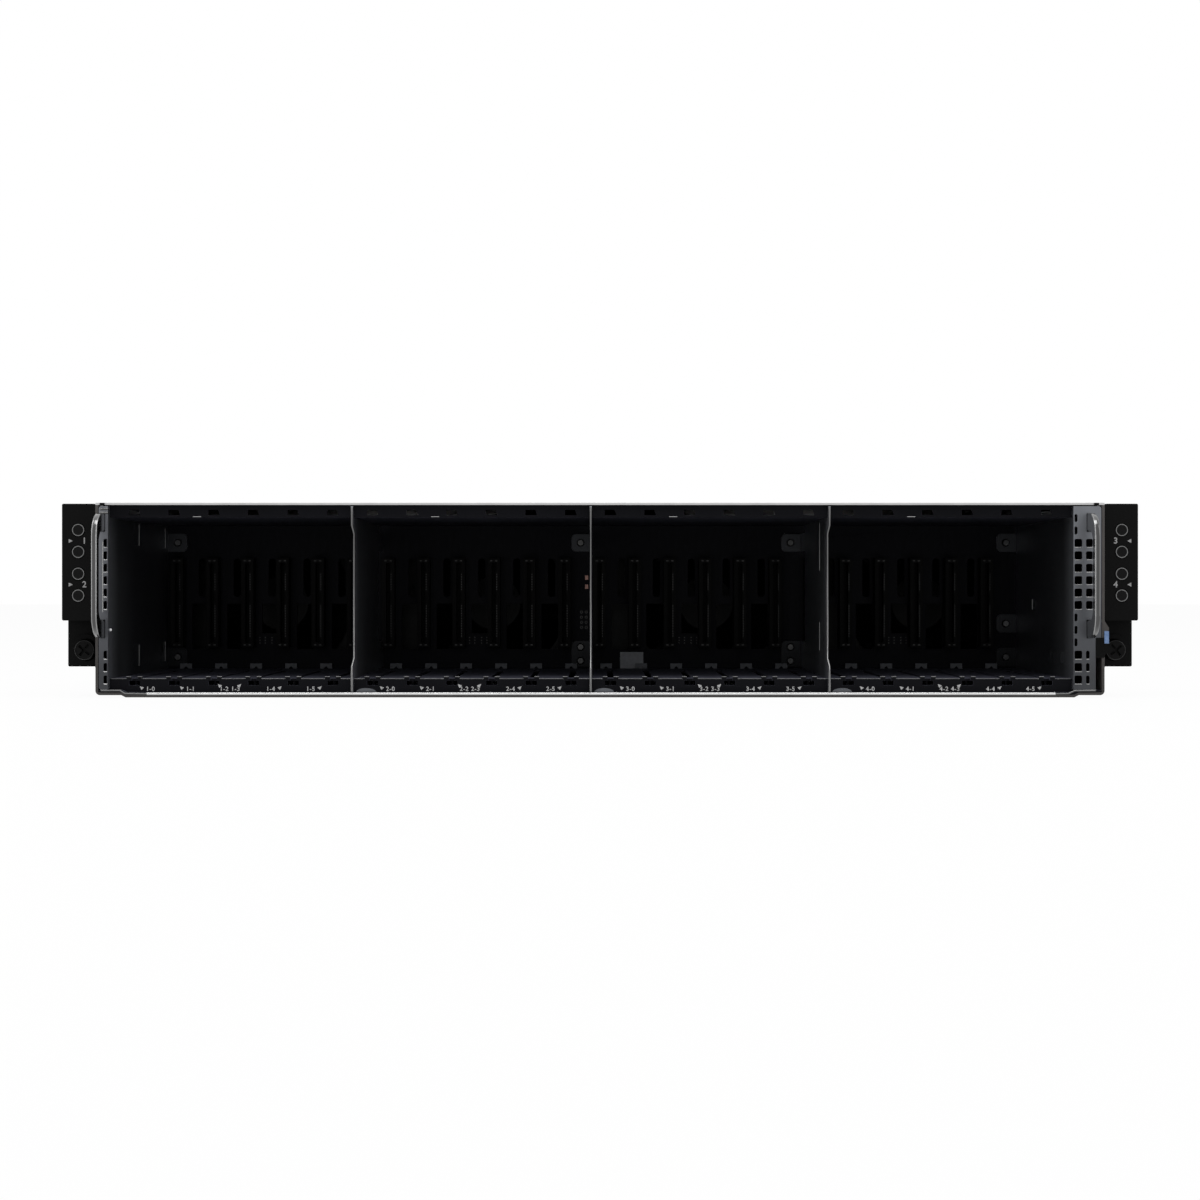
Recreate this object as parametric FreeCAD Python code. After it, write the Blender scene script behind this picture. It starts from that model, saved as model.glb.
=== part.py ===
import FreeCAD, Part
import math
import os

Vector = FreeCAD.Vector

# Overall sizes, in millimetres
RACK_WIDTH = 482.6
BODY_HEIGHT = 86.8
BODY_DEPTH = 763.2
EAR_WIDTH = 16.3

# Sheet metal and fits
PAN_SHEET = 1.2
COVER_SHEET = 1.0
CAGE_SHEET = 1.0
BEND_RADIUS = 2.0
FLOOR_STEP = 1.0
SIDE_STRIP = 11.5
STEP_RUN = 2.0
COVER_LIP = 6.0
FIT_GAP = 0.3
RUN_GAP = 0.05
CUT = 1.0

# Drive cage
LEFT_SPACE = 5.6
RIGHT_SPACE = 13.9
GROUPS = 4
BAYS_IN_GROUP = 6
WALL_MARGIN = 2.25
BAY_FLOOR_Z = 8.2
CEILING_DROP = 6.4
CAGE_DEPTH = 117.0
DIVIDER_DEPTH = 98.0
DIVIDER_RECESS = 7.5
DIVIDER_RECESS_LOW = 17.0
DIVIDER_RECESS_DROP = 13.3
DIVIDER_RAMP = 3.5
FLANGE_DROP = 1.5
FLANGE_BOTTOM_Z = 3.5
FLANGE_CORNER = 1.2

# Notches, tabs and slots of the bay floor and ceiling
LIP_SETBACK = 3.0
NOTCH_WIDTH = 2.7
NOTCH_WINDOW = 5.0
NOTCH_FLOOR_Z = 5.3
NOTCH_WINDOW_TOP_Z = 7.3
LIP_TAB_WIDTH = 2.3
LIP_TAB_RISE = 0.9
FIN_THICKNESS = 0.8
FIN_START = 6.0
FIN_LENGTH = 8.0
FIN_DROP = 2.4
TOP_NOTCH_WIDTH = 5.2
TOP_NOTCH_HEIGHT = 2.4
TOP_NOTCH_SLOPE = 0.8
GUIDE_SLOT_LENGTH = 70.0
GUIDE_SLOT_START = 16.0
REAR_TAB_WIDTH = 6.0
REAR_TAB_OFFSET = -1.6
REAR_TAB_RISE = 2.6
REAR_TAB_FOOT = 2.4
REAR_TAB_ARCH = 1.2

# Perforated front flanges
HOLE_ROWS = 14
HOLE_TOP_DROP = 5.34
HOLE_BOTTOM_RISE = 4.44
HOLE_HEIGHT = 3.6
HOLE_CORNER = 0.5
UPPER_ROWS = (2, 3, 4, 5, 6, 7)
LOWER_ROWS = (11, 12, 13)
FIRST_COLUMN = 0.4
WIDE_HOLE = 3.5
NARROW_HOLE = 1.4
SECOND_COLUMN = 5.6
SECOND_HOLE = 3.0
LOWER_SECOND_HOLE = 1.6
LEFT_COLUMN = 2.0
LEFT_HOLE = 1.9
RELIEF_WIDTH = 2.5
RELIEF_TOP_Z = 25.5

# Hooks pressed out of the cage side walls
LEFT_HOOK_Y = (46.0, 100.0)
LEFT_HOOK_Z = (17.0, 74.0)
LEFT_HOOK_LENGTH = 8.0
LEFT_HOOK_HEIGHT = 10.0
RIGHT_HOOK_Y = (18.0, 39.0, 74.0)
RIGHT_HOOK_Z = (17.0, 17.0, 41.0)
RIGHT_HOOK_LENGTH = 3.0
RIGHT_HOOK_HEIGHT = 5.0
HOOK_RISE = 0.8

# Tabs that carry the backplane, and their screws
TAB_WIDTH = 9.9
TAB_HEIGHT = 9.2
TAB_CORNER = 2.5
TAB_LOWER_Z = 14.0
TAB_MIDDLE_Z = 31.0
TAB_UPPER_DROP = 14.8
TAB_SCREW_INSET = 5.2
TALL_TAB_Z = 15.6
TALL_TAB_HEIGHT = 13.4
TALL_SCREW_PITCH = 7.0
SCREW_RADIUS = 1.2
SCREW_GAP = 0.1
SCREW_HEAD_RADIUS = 2.0
SCREW_HEAD_TOP_RADIUS = 1.4
SCREW_HEAD_HEIGHT = 1.0

# Pull handles
HANDLE_STRIP = 2.4
HANDLE_LOWER_Z = 30.5
HANDLE_UPPER_DROP = 8.8
HANDLE_FOOT_HEIGHT = 8.0
HANDLE_SLOT_GAP = 0.15
HANDLE_REACH = 14.0
HANDLE_GRIP = 4.0
HANDLE_CORNER = 10.0
HANDLE_INNER_CORNER = 6.0
HANDLE_EDGE = 0.5
LEFT_HANDLE_OFFSET = 2.6
RIGHT_HANDLE_OFFSET = 7.2

# Drive backplane and its connectors
BOARD_THICKNESS = 2.0
BACKPLANE_BOTTOM_Z = 5.0
BACKPLANE_DROP = 3.8
CONNECTOR_WIDTH = 6.2
CONNECTOR_DEPTH = 8.0
CONNECTOR_OFFSET = -5.0
CONNECTOR_SLOT = 2.2
CONNECTOR_WALL = 1.2
CONNECTOR_FOOT_GAP = 0.5
CONNECTOR_HEAD_GAP = 3.4
VENT_WIDTH = 8.4
VENT_OFFSET = 5.3
VENT_BOTTOM_Z = 18.0
VENT_TOP_Z = 41.0
SHORT_VENT_BOTTOM_Z = 26.0
SHORT_VENT_BAY = 2
SLIT_WIDTH = 3.6
SLIT_CORNER = 1.6
SLIT_OFFSET = 6.2
SLIT_BOTTOM_Z = 44.5

# Rack ears and control housings
EAR_FACE_Y = 5.0
EAR_PLATE = 1.4
EAR_BACK = 3.0
EAR_SIDE_END = 60.0
PANEL_DEPTH = 25.0
PANEL_WALL = 1.4
PANEL_CORNER = 0.7
PANEL_BOTTOM_Z = 34.2
PANEL_DROP = 0.2
BLOCK_SETBACK = 10.0
BLOCK_BOTTOM_Z = 13.2

# Captive rack screws
RACK_SCREW_INSET = 8.7
RACK_SCREW_Z = 20.8
RACK_SCREW_RADIUS = 2.4
RACK_SCREW_REACH = 12.0
RACK_THREAD_RADIUS = 2.2
RACK_SCREW_POINT = 1.0
BOSS_RADIUS = 7.0
BOSS_RISE = 1.5
KNOB_RADIUS = 4.55
KNOB_HEIGHT = 6.5
KNOB_EDGE = 0.6
KNOB_GAP = 0.45
KNOB_SINK = 1.5
KNOB_SEAT_GAP = 0.3
CROSS_LENGTH = 6.2
CROSS_WIDTH = 1.1
CROSS_DEPTH = 1.4
CROSS_ANGLE = 40.0

# Buttons and switch boards
BUTTON_COUNT = 4
BUTTON_INSET = 7.3
BUTTON_TOP_DROP = 11.8
BUTTON_BOTTOM_RISE = 11.2
BUTTON_RADIUS = 2.8
BUTTON_GAP = 0.3
BUTTON_EDGE = 0.3
BUTTON_PROUD = 0.2
BUTTON_SEAT_GAP = 0.1
BUTTON_TRAVEL = 0.8
COLLAR_RADIUS = 3.5
COLLAR_DEPTH = 0.8
STEM_RADIUS = 1.0
SWITCH_Y = 12.0
SWITCH_SIZE = 4.5
SWITCH_DEPTH = 3.0
CONTROL_BOARD = 1.6
BOARD_EDGE_GAP = 0.1

# Cooling fans
FAN_COUNT = 4
FAN_Y = 147.0
FAN_DEPTH = 38.0
FAN_HEADROOM = 4.6
FAN_CORNER = 4.0
FAN_DUCT_WALL = 1.6
FAN_HOLE_INSET = 4.25
FAN_HOLE_RADIUS = 2.2
FAN_TIP_GAP = 3.2
FAN_HUB_RADIUS = 16.0
FAN_HUB_DEPTH = 26.0
FAN_HUB_EDGE = 2.0
FAN_BLADES = 7
FAN_BLADE_THICKNESS = 1.4
FAN_CHORD = 24.0
FAN_CAMBER = 3.0
BLADE_PITCH = 48.0
BLADE_ROOT_SINK = 1.0
SPIDER_DEPTH = 4.0
SPIDER_ARM = 3.0
SPIDER_ARMS = 4
SPIDER_ANGLE = 45.0
SPINDLE_RADIUS = 2.5
SPINDLE_LENGTH = 14.0
ROTOR_REAR_GAP = 1.0

# Node bays and centre channel
CHANNEL_SIDE_GAP = 2.2
CHANNEL_SHEET = 1.0
MIDPLANE_GAP = 1.5
MIDPLANE_SLOTS = 12
MIDPLANE_SLOT_WIDTH = 9.0
MIDPLANE_SLOT_HEIGHT = 6.0
MIDPLANE_SLOT_OFFSET = 11.5
NODE_CONNECTOR_WIDTH = 64.0
NODE_CONNECTOR_HEIGHT = 8.0
NODE_CONNECTOR_DEPTH = 10.0
RECEPTACLE_WIDTH = 52.0
RECEPTACLE_HEIGHT = 9.0
RECEPTACLE_DEPTH = 13.0

# Power supplies
PSU_WIDTH = 86.4
PSU_DEPTH = 190.0
PSU_HEADROOM = 3.6
PSU_SHELF_GAP = 0.6
PSU_CORNER = 1.0
PSU_SKIN = 1.5
PSU_FAN_X = 14.0
PSU_WELL_WALL = 1.8
PSU_WELL_DEPTH = 20.0
PSU_SPINDLE = 1.5
PSU_SPINDLE_LENGTH = 9.0
PSU_HUB_RADIUS = 7.0
PSU_HUB_DEPTH = 14.0
PSU_HUB_EDGE = 1.0
PSU_BLADES = 5
PSU_TIP_GAP = 2.7
PSU_BLADE_THICKNESS = 1.0
PSU_CHORD = 12.0
PSU_CAMBER = 1.5
GRILLE_RINGS = 3
GRILLE_HUB = 5.0
GRILLE_WIRE = 1.2
GRILLE_BAR = 0.8
INLET_X = -25.0
INLET_WIDTH = 28.0
INLET_HEIGHT = 22.0
INLET_DEPTH = 18.0
INLET_WALL = 2.0
INLET_GAP = 0.1
INLET_CHAMFER = 4.0
INLET_BLADE_WIDTH = 2.0
INLET_BLADE_HEIGHT = 4.0
INLET_BLADE_SINK = 8.0
INLET_BLADE_PITCH = 7.0
INLET_BLADE_RISE = 4.0
PSU_HANDLE_X = -7.5
PSU_HANDLE_WIDTH = 4.0
PSU_HANDLE_MARGIN = 4.0
PSU_HANDLE_REACH = 32.0
PSU_HANDLE_BAR = 4.0
PSU_HANDLE_CORNER = 9.0
PSU_HANDLE_INNER_CORNER = 5.0
LATCH_NOTCH = 5.2
LATCH_INSET = 2.2
LATCH_FRONT = 28.2
LATCH_PIVOT = 13.2
LATCH_HEIGHT = 14.0
LATCH_THICKNESS = 1.8
LATCH_NOSE = 1.4
LATCH_TAB = 5.0
LATCH_REACH = 12.0
LATCH_PIN_RADIUS = 1.2
LATCH_PIN_LENGTH = 18.0

# Lids
COVER_SPLIT_Y = 140.0
LOCK_Y = 235.0
LOCK_LENGTH = 26.0
LOCK_WIDTH = 14.0
LOCK_GAP = 0.3
LOCK_RIM = 2.0
LOCK_COLLAR = 1.2
LOCK_SEAT_GAP = 0.1
LOCK_SINK = 0.2

# Sizes that follow from the ones above
FRONT = 0.0
HALF_BODY = RACK_WIDTH / 2 - EAR_WIDTH
PAN_INNER = HALF_BODY - PAN_SHEET
LINING = PAN_INNER - FIT_GAP
COVER_Z = BODY_HEIGHT - COVER_SHEET
INNER_TOP_Z = COVER_Z - COVER_LIP - FIT_GAP
CAGE_LEFT = LEFT_SPACE - HALF_BODY
CAGE_RIGHT = HALF_BODY - RIGHT_SPACE
CAGE_MIDDLE = (CAGE_LEFT + CAGE_RIGHT) / 2
BAY_PITCH = (CAGE_RIGHT - CAGE_LEFT - 2 * WALL_MARGIN) / (GROUPS * BAYS_IN_GROUP)
BAY_CEILING_Z = BODY_HEIGHT - CEILING_DROP
FLANGE_TOP_Z = BODY_HEIGHT - FLANGE_DROP
HOLE_TOP_Z = FLANGE_TOP_Z - HOLE_TOP_DROP
HOLE_PITCH = (HOLE_TOP_Z - FLANGE_BOTTOM_Z - HOLE_BOTTOM_RISE) / (HOLE_ROWS - 1)
TAB_UPPER_Z = BODY_HEIGHT - TAB_UPPER_DROP
WIDE_ROWS = UPPER_ROWS + LOWER_ROWS
LEFT_TAB_Z = (TAB_LOWER_Z, TAB_UPPER_Z)
RIGHT_TAB_Z = (TAB_LOWER_Z, TAB_MIDDLE_Z, TAB_UPPER_Z)
TALL_SCREW_Z = (TALL_TAB_Z - TALL_SCREW_PITCH / 2, TALL_TAB_Z + TALL_SCREW_PITCH / 2)
BACKPLANE_Y = CAGE_DEPTH + CAGE_SHEET
CONNECTOR_BOTTOM_Z = TAB_LOWER_Z + TAB_HEIGHT / 2 + CONNECTOR_FOOT_GAP
CONNECTOR_TOP_Z = TAB_UPPER_Z - TAB_HEIGHT / 2 - CONNECTOR_HEAD_GAP
HANDLE_FOOT_Z = (HANDLE_LOWER_Z, BODY_HEIGHT - HANDLE_UPPER_DROP)
LEFT_HANDLE_X = CAGE_LEFT - LEFT_HANDLE_OFFSET
RIGHT_HANDLE_X = CAGE_RIGHT + RIGHT_HANDLE_OFFSET
EAR_INNER = HALF_BODY + EAR_PLATE
EAR_REAR = EAR_FACE_Y + PANEL_DEPTH + EAR_BACK
PANEL_TOP_Z = BODY_HEIGHT - PANEL_DROP
RACK_SCREW_X = RACK_WIDTH / 2 - RACK_SCREW_INSET
BUTTON_X = RACK_WIDTH / 2 - BUTTON_INSET
BUTTON_TOP_Z = PANEL_TOP_Z - BUTTON_TOP_DROP
BUTTON_PITCH = (BUTTON_TOP_Z - PANEL_BOTTOM_Z - BUTTON_BOTTOM_RISE) / (BUTTON_COUNT - 1)
BUTTON_Z = [BUTTON_TOP_Z - index * BUTTON_PITCH for index in range(BUTTON_COUNT)]
FAN_SIZE = COVER_Z - PAN_SHEET - FAN_HEADROOM
FAN_Z = PAN_SHEET + FAN_SIZE / 2
FAN_DUCT_RADIUS = FAN_SIZE / 2 - FAN_DUCT_WALL
FAN_X = [(index - (FAN_COUNT - 1) / 2) * 2 * PAN_INNER / FAN_COUNT for index in range(FAN_COUNT)]
MOTOR_Y = FAN_Y + FAN_DEPTH - SPIDER_DEPTH
MIDPLANE_Y = FAN_Y + FAN_DEPTH + MIDPLANE_GAP
CHANNEL_INNER = PSU_WIDTH / 2 + CHANNEL_SIDE_GAP
CHANNEL_OUTER = CHANNEL_INNER + CHANNEL_SHEET
PSU_HEIGHT = (COVER_Z - PAN_SHEET - CAGE_SHEET - PSU_HEADROOM) / 2
SHELF_Z = PAN_SHEET + FIT_GAP + PSU_HEIGHT + PSU_SHELF_GAP
PSU_BASE_Z = (PAN_SHEET + FIT_GAP, SHELF_Z + CAGE_SHEET + FIT_GAP)
PSU_FRONT = BODY_DEPTH - PSU_DEPTH
PSU_WELL_RADIUS = PSU_HEIGHT / 2 - PSU_WELL_WALL
PSU_WELL_Y = BODY_DEPTH - PSU_SKIN - PSU_WELL_DEPTH
POWER_BOARD_Y = PSU_FRONT - RECEPTACLE_DEPTH - BOARD_THICKNESS
NODE_CONNECTOR_Z = ((PAN_SHEET + SHELF_Z) / 2, (SHELF_Z + CAGE_SHEET + COVER_Z) / 2)
LATCH_X = PSU_WIDTH / 2 - LATCH_INSET
WHOLE_MIDDLE_Y = (BODY_DEPTH + PSU_HANDLE_REACH - HANDLE_REACH) / 2


def block(x_range, y_range, z_range):
    """Rectangular solid between three pairs of limits."""
    size = [high - low for low, high in (x_range, y_range, z_range)]
    return Part.makeBox(*size, Vector(x_range[0], y_range[0], z_range[0]))


def around(middle, size):
    """Pair of limits around a middle."""
    return (middle - size / 2, middle + size / 2)


def rod(radius, length, start, axis=(0, 1, 0)):
    """Round solid from a start point along an axis."""
    return Part.makeCylinder(radius, length, Vector(*start), Vector(*axis))


def prism(points, sweep):
    """Solid swept from a closed outline of points."""
    corners = [Vector(*point) for point in points]
    return Part.Face(Part.makePolygon(corners + corners[:1])).extrude(Vector(*sweep))


def turned(profile, x, z):
    """Solid of revolution about a line along Y, from (radius, y) points."""
    corners = [Vector(x + radius, y, z) for radius, y in profile]
    face = Part.Face(Part.makePolygon(corners + corners[:1]))
    return face.revolve(Vector(x, 0, z), Vector(0, 1, 0), 360)


def edges_along(shape, axis, keep):
    """Straight edges that run along an axis and whose middle is to be kept."""
    chosen = []
    for edge in shape.Edges:
        if isinstance(edge.Curve, Part.Line):
            along = abs(edge.tangentAt(edge.FirstParameter).dot(Vector(*axis)))
            if along > 0.999 and keep(edge.CenterOfMass):
                chosen.append(edge)
    return chosen


def round_along(shape, axis, radius, keep=lambda middle: True):
    """Round the straight edges that run along an axis."""
    return shape.makeFillet(radius, edges_along(shape, axis, keep))


def bevel_along(shape, axis, size, keep=lambda middle: True):
    """Bevel the straight edges that run along an axis."""
    return shape.makeChamfer(size, edges_along(shape, axis, keep))


def join(shapes):
    """One solid from touching shapes, without the seams between them."""
    return shapes[0].fuse(shapes[1:]).removeSplitter()


def mirror_x(shape):
    """The same shape on the other side of the middle plane."""
    return shape.mirror(Vector(0, 0, 0), Vector(1, 0, 0))


def stepped_floor(half_width, low, high):
    """Outline of the pan's floor from side to side, raised along both sides."""
    edge = HALF_BODY - SIDE_STRIP
    right = [(edge - STEP_RUN, low), (edge, high), (half_width, high)]
    left = [(-x, z) for x, z in reversed(right)]
    return [(x, 0, z) for x, z in left + right]


def group_bays(group):
    """Middle of each bay in one group."""
    first = CAGE_LEFT + WALL_MARGIN + (group * BAYS_IN_GROUP + 0.5) * BAY_PITCH
    return [first + index * BAY_PITCH for index in range(BAYS_IN_GROUP)]


def all_bays():
    """Middle of each bay, from left to right."""
    return [x for group in range(GROUPS) for x in group_bays(group)]


def divider_places():
    """Middle of each wall between two groups."""
    return [CAGE_MIDDLE + (index - (GROUPS - 2) / 2) * BAYS_IN_GROUP * BAY_PITCH
            for index in range(GROUPS - 1)]


def base_pan():
    """Folded tray with a stepped floor and rounded lower corners."""
    outer = stepped_floor(HALF_BODY, 0, FLOOR_STEP)
    outer = [(-HALF_BODY, 0, COVER_Z)] + outer + [(HALF_BODY, 0, COVER_Z)]
    inner = stepped_floor(PAN_INNER, PAN_SHEET, FLOOR_STEP + PAN_SHEET)
    inner = [(-PAN_INNER, 0, COVER_Z)] + inner + [(PAN_INNER, 0, COVER_Z)]
    tray = prism(outer + inner[::-1], (0, BODY_DEPTH, 0))
    return round_along(tray, (0, 1, 0), BEND_RADIUS,
                       lambda middle: abs(middle.x) > PAN_INNER + PAN_SHEET / 2 and middle.z < SIDE_STRIP)


def cage_wall(inner_x, side, cuts, handle_x, tab_heights, hooks):
    """Cage side wall with its perforated front flange, pressed hooks and backplane tabs."""
    outer_x = inner_x + side * CAGE_SHEET
    edge_x = side * LINING
    z_range = (FLANGE_BOTTOM_Z, FLANGE_TOP_Z)
    wall = block(sorted((inner_x, outer_x)), (FRONT, CAGE_DEPTH + CAGE_SHEET), z_range)
    flange = block(sorted((inner_x, edge_x)), (FRONT, FRONT + CAGE_SHEET), z_range)
    flange = round_along(flange, (0, 1, 0), FLANGE_CORNER, lambda middle: abs(middle.x - edge_x) < FIT_GAP)
    tabs = [backplane_tab(inner_x, -side, around(z, TAB_HEIGHT), [z]) for z in tab_heights]
    slots = [handle_slot(handle_x, edge_x, z) for z in HANDLE_FOOT_Z]
    return join([wall, flange] + tabs + hooks).cut(cuts + slots)


def wall_hook(wall_x, side, y, z, length, height):
    """Wedge pressed out of a cage wall, steep at its rear."""
    tip = wall_x + side * HOOK_RISE
    low = z - height / 2
    outline = [(wall_x, y, low), (wall_x, y + length, low), (tip, y + length, low)]
    return prism(outline, (0, 0, height))


def flange_holes(left, width, rows):
    """One column of holes with bevelled corners through a front flange."""
    holes = []
    for row in rows:
        z_range = around(HOLE_TOP_Z - row * HOLE_PITCH, HOLE_HEIGHT)
        hole = block((left, left + width), (FRONT - CUT, FRONT + CAGE_SHEET + CUT), z_range)
        holes.append(bevel_along(hole, (0, 1, 0), HOLE_CORNER))
    return holes


def flange_relief():
    """Clearance cut at the lower outer edge of the right flange."""
    return block((LINING - RELIEF_WIDTH, LINING + CUT), (FRONT - CUT, FRONT + CAGE_SHEET + CUT),
                 (FLANGE_BOTTOM_Z - CUT, RELIEF_TOP_Z))


def left_cage_wall():
    """Left wall with one column of holes and four long hooks."""
    holes = flange_holes(CAGE_LEFT - LEFT_COLUMN, LEFT_HOLE, WIDE_ROWS)
    hooks = [wall_hook(CAGE_LEFT, 1, y, z, LEFT_HOOK_LENGTH, LEFT_HOOK_HEIGHT)
             for y in LEFT_HOOK_Y for z in LEFT_HOOK_Z]
    return cage_wall(CAGE_LEFT, -1, holes, LEFT_HANDLE_X, LEFT_TAB_Z, hooks)


def right_cage_wall():
    """Right wall with two columns of holes, a relieved flange and three short hooks."""
    narrow_rows = [row for row in range(HOLE_ROWS) if row not in WIDE_ROWS]
    cuts = [flange_relief()]
    for start, width, rows in ((FIRST_COLUMN, WIDE_HOLE, WIDE_ROWS), (FIRST_COLUMN, NARROW_HOLE, narrow_rows),
                               (SECOND_COLUMN, SECOND_HOLE, UPPER_ROWS),
                               (SECOND_COLUMN, LOWER_SECOND_HOLE, LOWER_ROWS)):
        cuts += flange_holes(CAGE_RIGHT + start, width, rows)
    hooks = [wall_hook(CAGE_RIGHT, -1, y, z, RIGHT_HOOK_LENGTH, RIGHT_HOOK_HEIGHT)
             for y, z in zip(RIGHT_HOOK_Y, RIGHT_HOOK_Z)]
    return cage_wall(CAGE_RIGHT, 1, cuts, RIGHT_HANDLE_X, RIGHT_TAB_Z, hooks)


def handle_slot(middle_x, edge_x, middle_z):
    """Slot for a handle's foot, open to the flange's edge where that is near."""
    half = HANDLE_STRIP / 2 + HANDLE_SLOT_GAP
    x_range = [middle_x - half, middle_x + half]
    if abs(edge_x - middle_x) < HANDLE_STRIP:
        x_range += [edge_x + math.copysign(CUT, edge_x)]
    return block((min(x_range), max(x_range)), (FRONT - CUT, FRONT + CAGE_SHEET + CUT),
                 around(middle_z, HANDLE_FOOT_HEIGHT + 2 * HANDLE_SLOT_GAP))


def backplane_tab(wall_x, side, z_range, screw_heights):
    """Folded tab with a rounded end and a clearance hole for each of its screws."""
    tip = wall_x + side * TAB_WIDTH
    tab = block(sorted((wall_x, tip)), (CAGE_DEPTH, CAGE_DEPTH + CAGE_SHEET), z_range)
    tab = round_along(tab, (0, 1, 0), TAB_CORNER, lambda middle: abs(middle.x - tip) < FIT_GAP)
    screw_x = wall_x + side * TAB_SCREW_INSET
    return tab.cut([rod(SCREW_RADIUS + SCREW_GAP, CAGE_SHEET + 2 * CUT, (screw_x, CAGE_DEPTH - CUT, z))
                    for z in screw_heights])


def cage_floor():
    """Bay floor with its notched front lip, stepped foot, fins, guide slots and rear tabs."""
    lip_y = (LIP_SETBACK, LIP_SETBACK + CAGE_SHEET)
    x_range = (CAGE_LEFT, CAGE_RIGHT)
    plate = block(x_range, (LIP_SETBACK, CAGE_DEPTH), (BAY_FLOOR_Z - CAGE_SHEET, BAY_FLOOR_Z))
    lip = block(x_range, lip_y, (FLOOR_STEP + PAN_SHEET, BAY_FLOOR_Z))
    under = stepped_floor(LINING, PAN_SHEET, PAN_SHEET + FLOOR_STEP)
    over = [(x, y, z + CAGE_SHEET) for x, y, z in under]
    foot = prism(under + over[::-1], (0, lip_y[1], 0))
    pieces = [plate, lip, foot]
    cuts = []
    for x in all_bays():
        pieces += lip_tabs(x, lip_y) + [floor_fin(x), rear_tab(x + REAR_TAB_OFFSET)]
        cuts += floor_cuts(x)
    return join(pieces).cut(cuts)


def lip_tabs(x, lip_y):
    """Two raised tabs beside the notch of one bay."""
    offset = (NOTCH_WIDTH + LIP_TAB_WIDTH) / 2
    z_range = (BAY_FLOOR_Z, BAY_FLOOR_Z + LIP_TAB_RISE)
    return [block(around(x + side * offset, LIP_TAB_WIDTH), lip_y, z_range) for side in (-1, 1)]


def floor_fin(x):
    """Fin under the floor behind the notch of one bay."""
    return block(around(x, FIN_THICKNESS), (FIN_START, FIN_START + FIN_LENGTH),
                 (BAY_FLOOR_Z - CAGE_SHEET - FIN_DROP, BAY_FLOOR_Z - CAGE_SHEET))


def rear_tab(x):
    """Upright tab with an arched foot at the rear of the bay floor."""
    half = REAR_TAB_WIDTH / 2
    foot = REAR_TAB_FOOT / 2
    top = BAY_FLOOR_Z + REAR_TAB_RISE
    arch = BAY_FLOOR_Z + REAR_TAB_ARCH
    outline = [(x - half, BAY_FLOOR_Z), (x - foot, BAY_FLOOR_Z), (x - foot / 2, arch), (x + foot / 2, arch),
               (x + foot, BAY_FLOOR_Z), (x + half, BAY_FLOOR_Z), (x + half, top), (x - half, top)]
    return prism([(px, CAGE_DEPTH - CAGE_SHEET, pz) for px, pz in outline], (0, CAGE_SHEET, 0))


def floor_cuts(x):
    """Notch, window and guide slot of one bay in the cage floor."""
    behind = LIP_SETBACK + CAGE_SHEET
    slot_y = (GUIDE_SLOT_START, GUIDE_SLOT_START + GUIDE_SLOT_LENGTH)
    notch_top = BAY_FLOOR_Z + LIP_TAB_RISE + CUT
    return [
        block(around(x, NOTCH_WIDTH), (LIP_SETBACK - CUT, behind + CAGE_SHEET), (NOTCH_FLOOR_Z, notch_top)),
        block(around(x, NOTCH_WINDOW), (LIP_SETBACK - CUT, behind), (NOTCH_FLOOR_Z, NOTCH_WINDOW_TOP_Z)),
        block(around(x, NOTCH_WIDTH), slot_y, (BAY_FLOOR_Z - CAGE_SHEET - CUT, BAY_FLOOR_Z + CUT)),
    ]


def cage_ceiling():
    """Bay ceiling with its front lip folded up and one slanted window for each bay."""
    x_range = (CAGE_LEFT, CAGE_RIGHT)
    plate = block(x_range, (LIP_SETBACK, CAGE_DEPTH), (BAY_CEILING_Z, BAY_CEILING_Z + CAGE_SHEET))
    lip = block(x_range, (LIP_SETBACK, LIP_SETBACK + CAGE_SHEET), (BAY_CEILING_Z, COVER_Z))
    low = BAY_CEILING_Z + CAGE_SHEET
    high = low + TOP_NOTCH_HEIGHT
    windows = []
    for x in all_bays():
        left, right = around(x, TOP_NOTCH_WIDTH)
        outline = [(left, low), (right, low), (right - TOP_NOTCH_SLOPE, high), (left, high)]
        points = [(px, LIP_SETBACK - CUT, pz) for px, pz in outline]
        windows.append(prism(points, (0, CAGE_SHEET + 2 * CUT, 0)))
    return join([plate, lip]).cut(windows)


def divider(x):
    """Sheet wall between two groups, its front edge set back in the middle."""
    foot_z = PAN_SHEET + CAGE_SHEET
    low = DIVIDER_RECESS_LOW
    high = BODY_HEIGHT - DIVIDER_RECESS_DROP
    outline = [
        (FRONT, foot_z), (FRONT, low - DIVIDER_RAMP), (DIVIDER_RECESS, low), (DIVIDER_RECESS, high),
        (FRONT, high + DIVIDER_RAMP), (FRONT, FLANGE_TOP_Z), (LIP_SETBACK, FLANGE_TOP_Z),
        (LIP_SETBACK, BAY_CEILING_Z), (DIVIDER_DEPTH, BAY_CEILING_Z), (DIVIDER_DEPTH, BAY_FLOOR_Z),
        (LIP_SETBACK, BAY_FLOOR_Z), (LIP_SETBACK, foot_z),
    ]
    left, right = around(x, CAGE_SHEET)
    pieces = [prism([(left, y, z) for y, z in outline], (CAGE_SHEET, 0, 0))]
    arm_y = (DIVIDER_DEPTH - CAGE_SHEET, CAGE_DEPTH + CAGE_SHEET)
    tall_tab = (around(TALL_TAB_Z, TALL_TAB_HEIGHT), TALL_SCREW_Z)
    short_tab = (around(TAB_UPPER_Z, TAB_HEIGHT), [TAB_UPPER_Z])
    for z_range, screw_heights in (tall_tab, short_tab):
        pieces += [block((left, right), arm_y, z_range), backplane_tab(left, -1, z_range, screw_heights)]
    return join(pieces)


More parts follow.
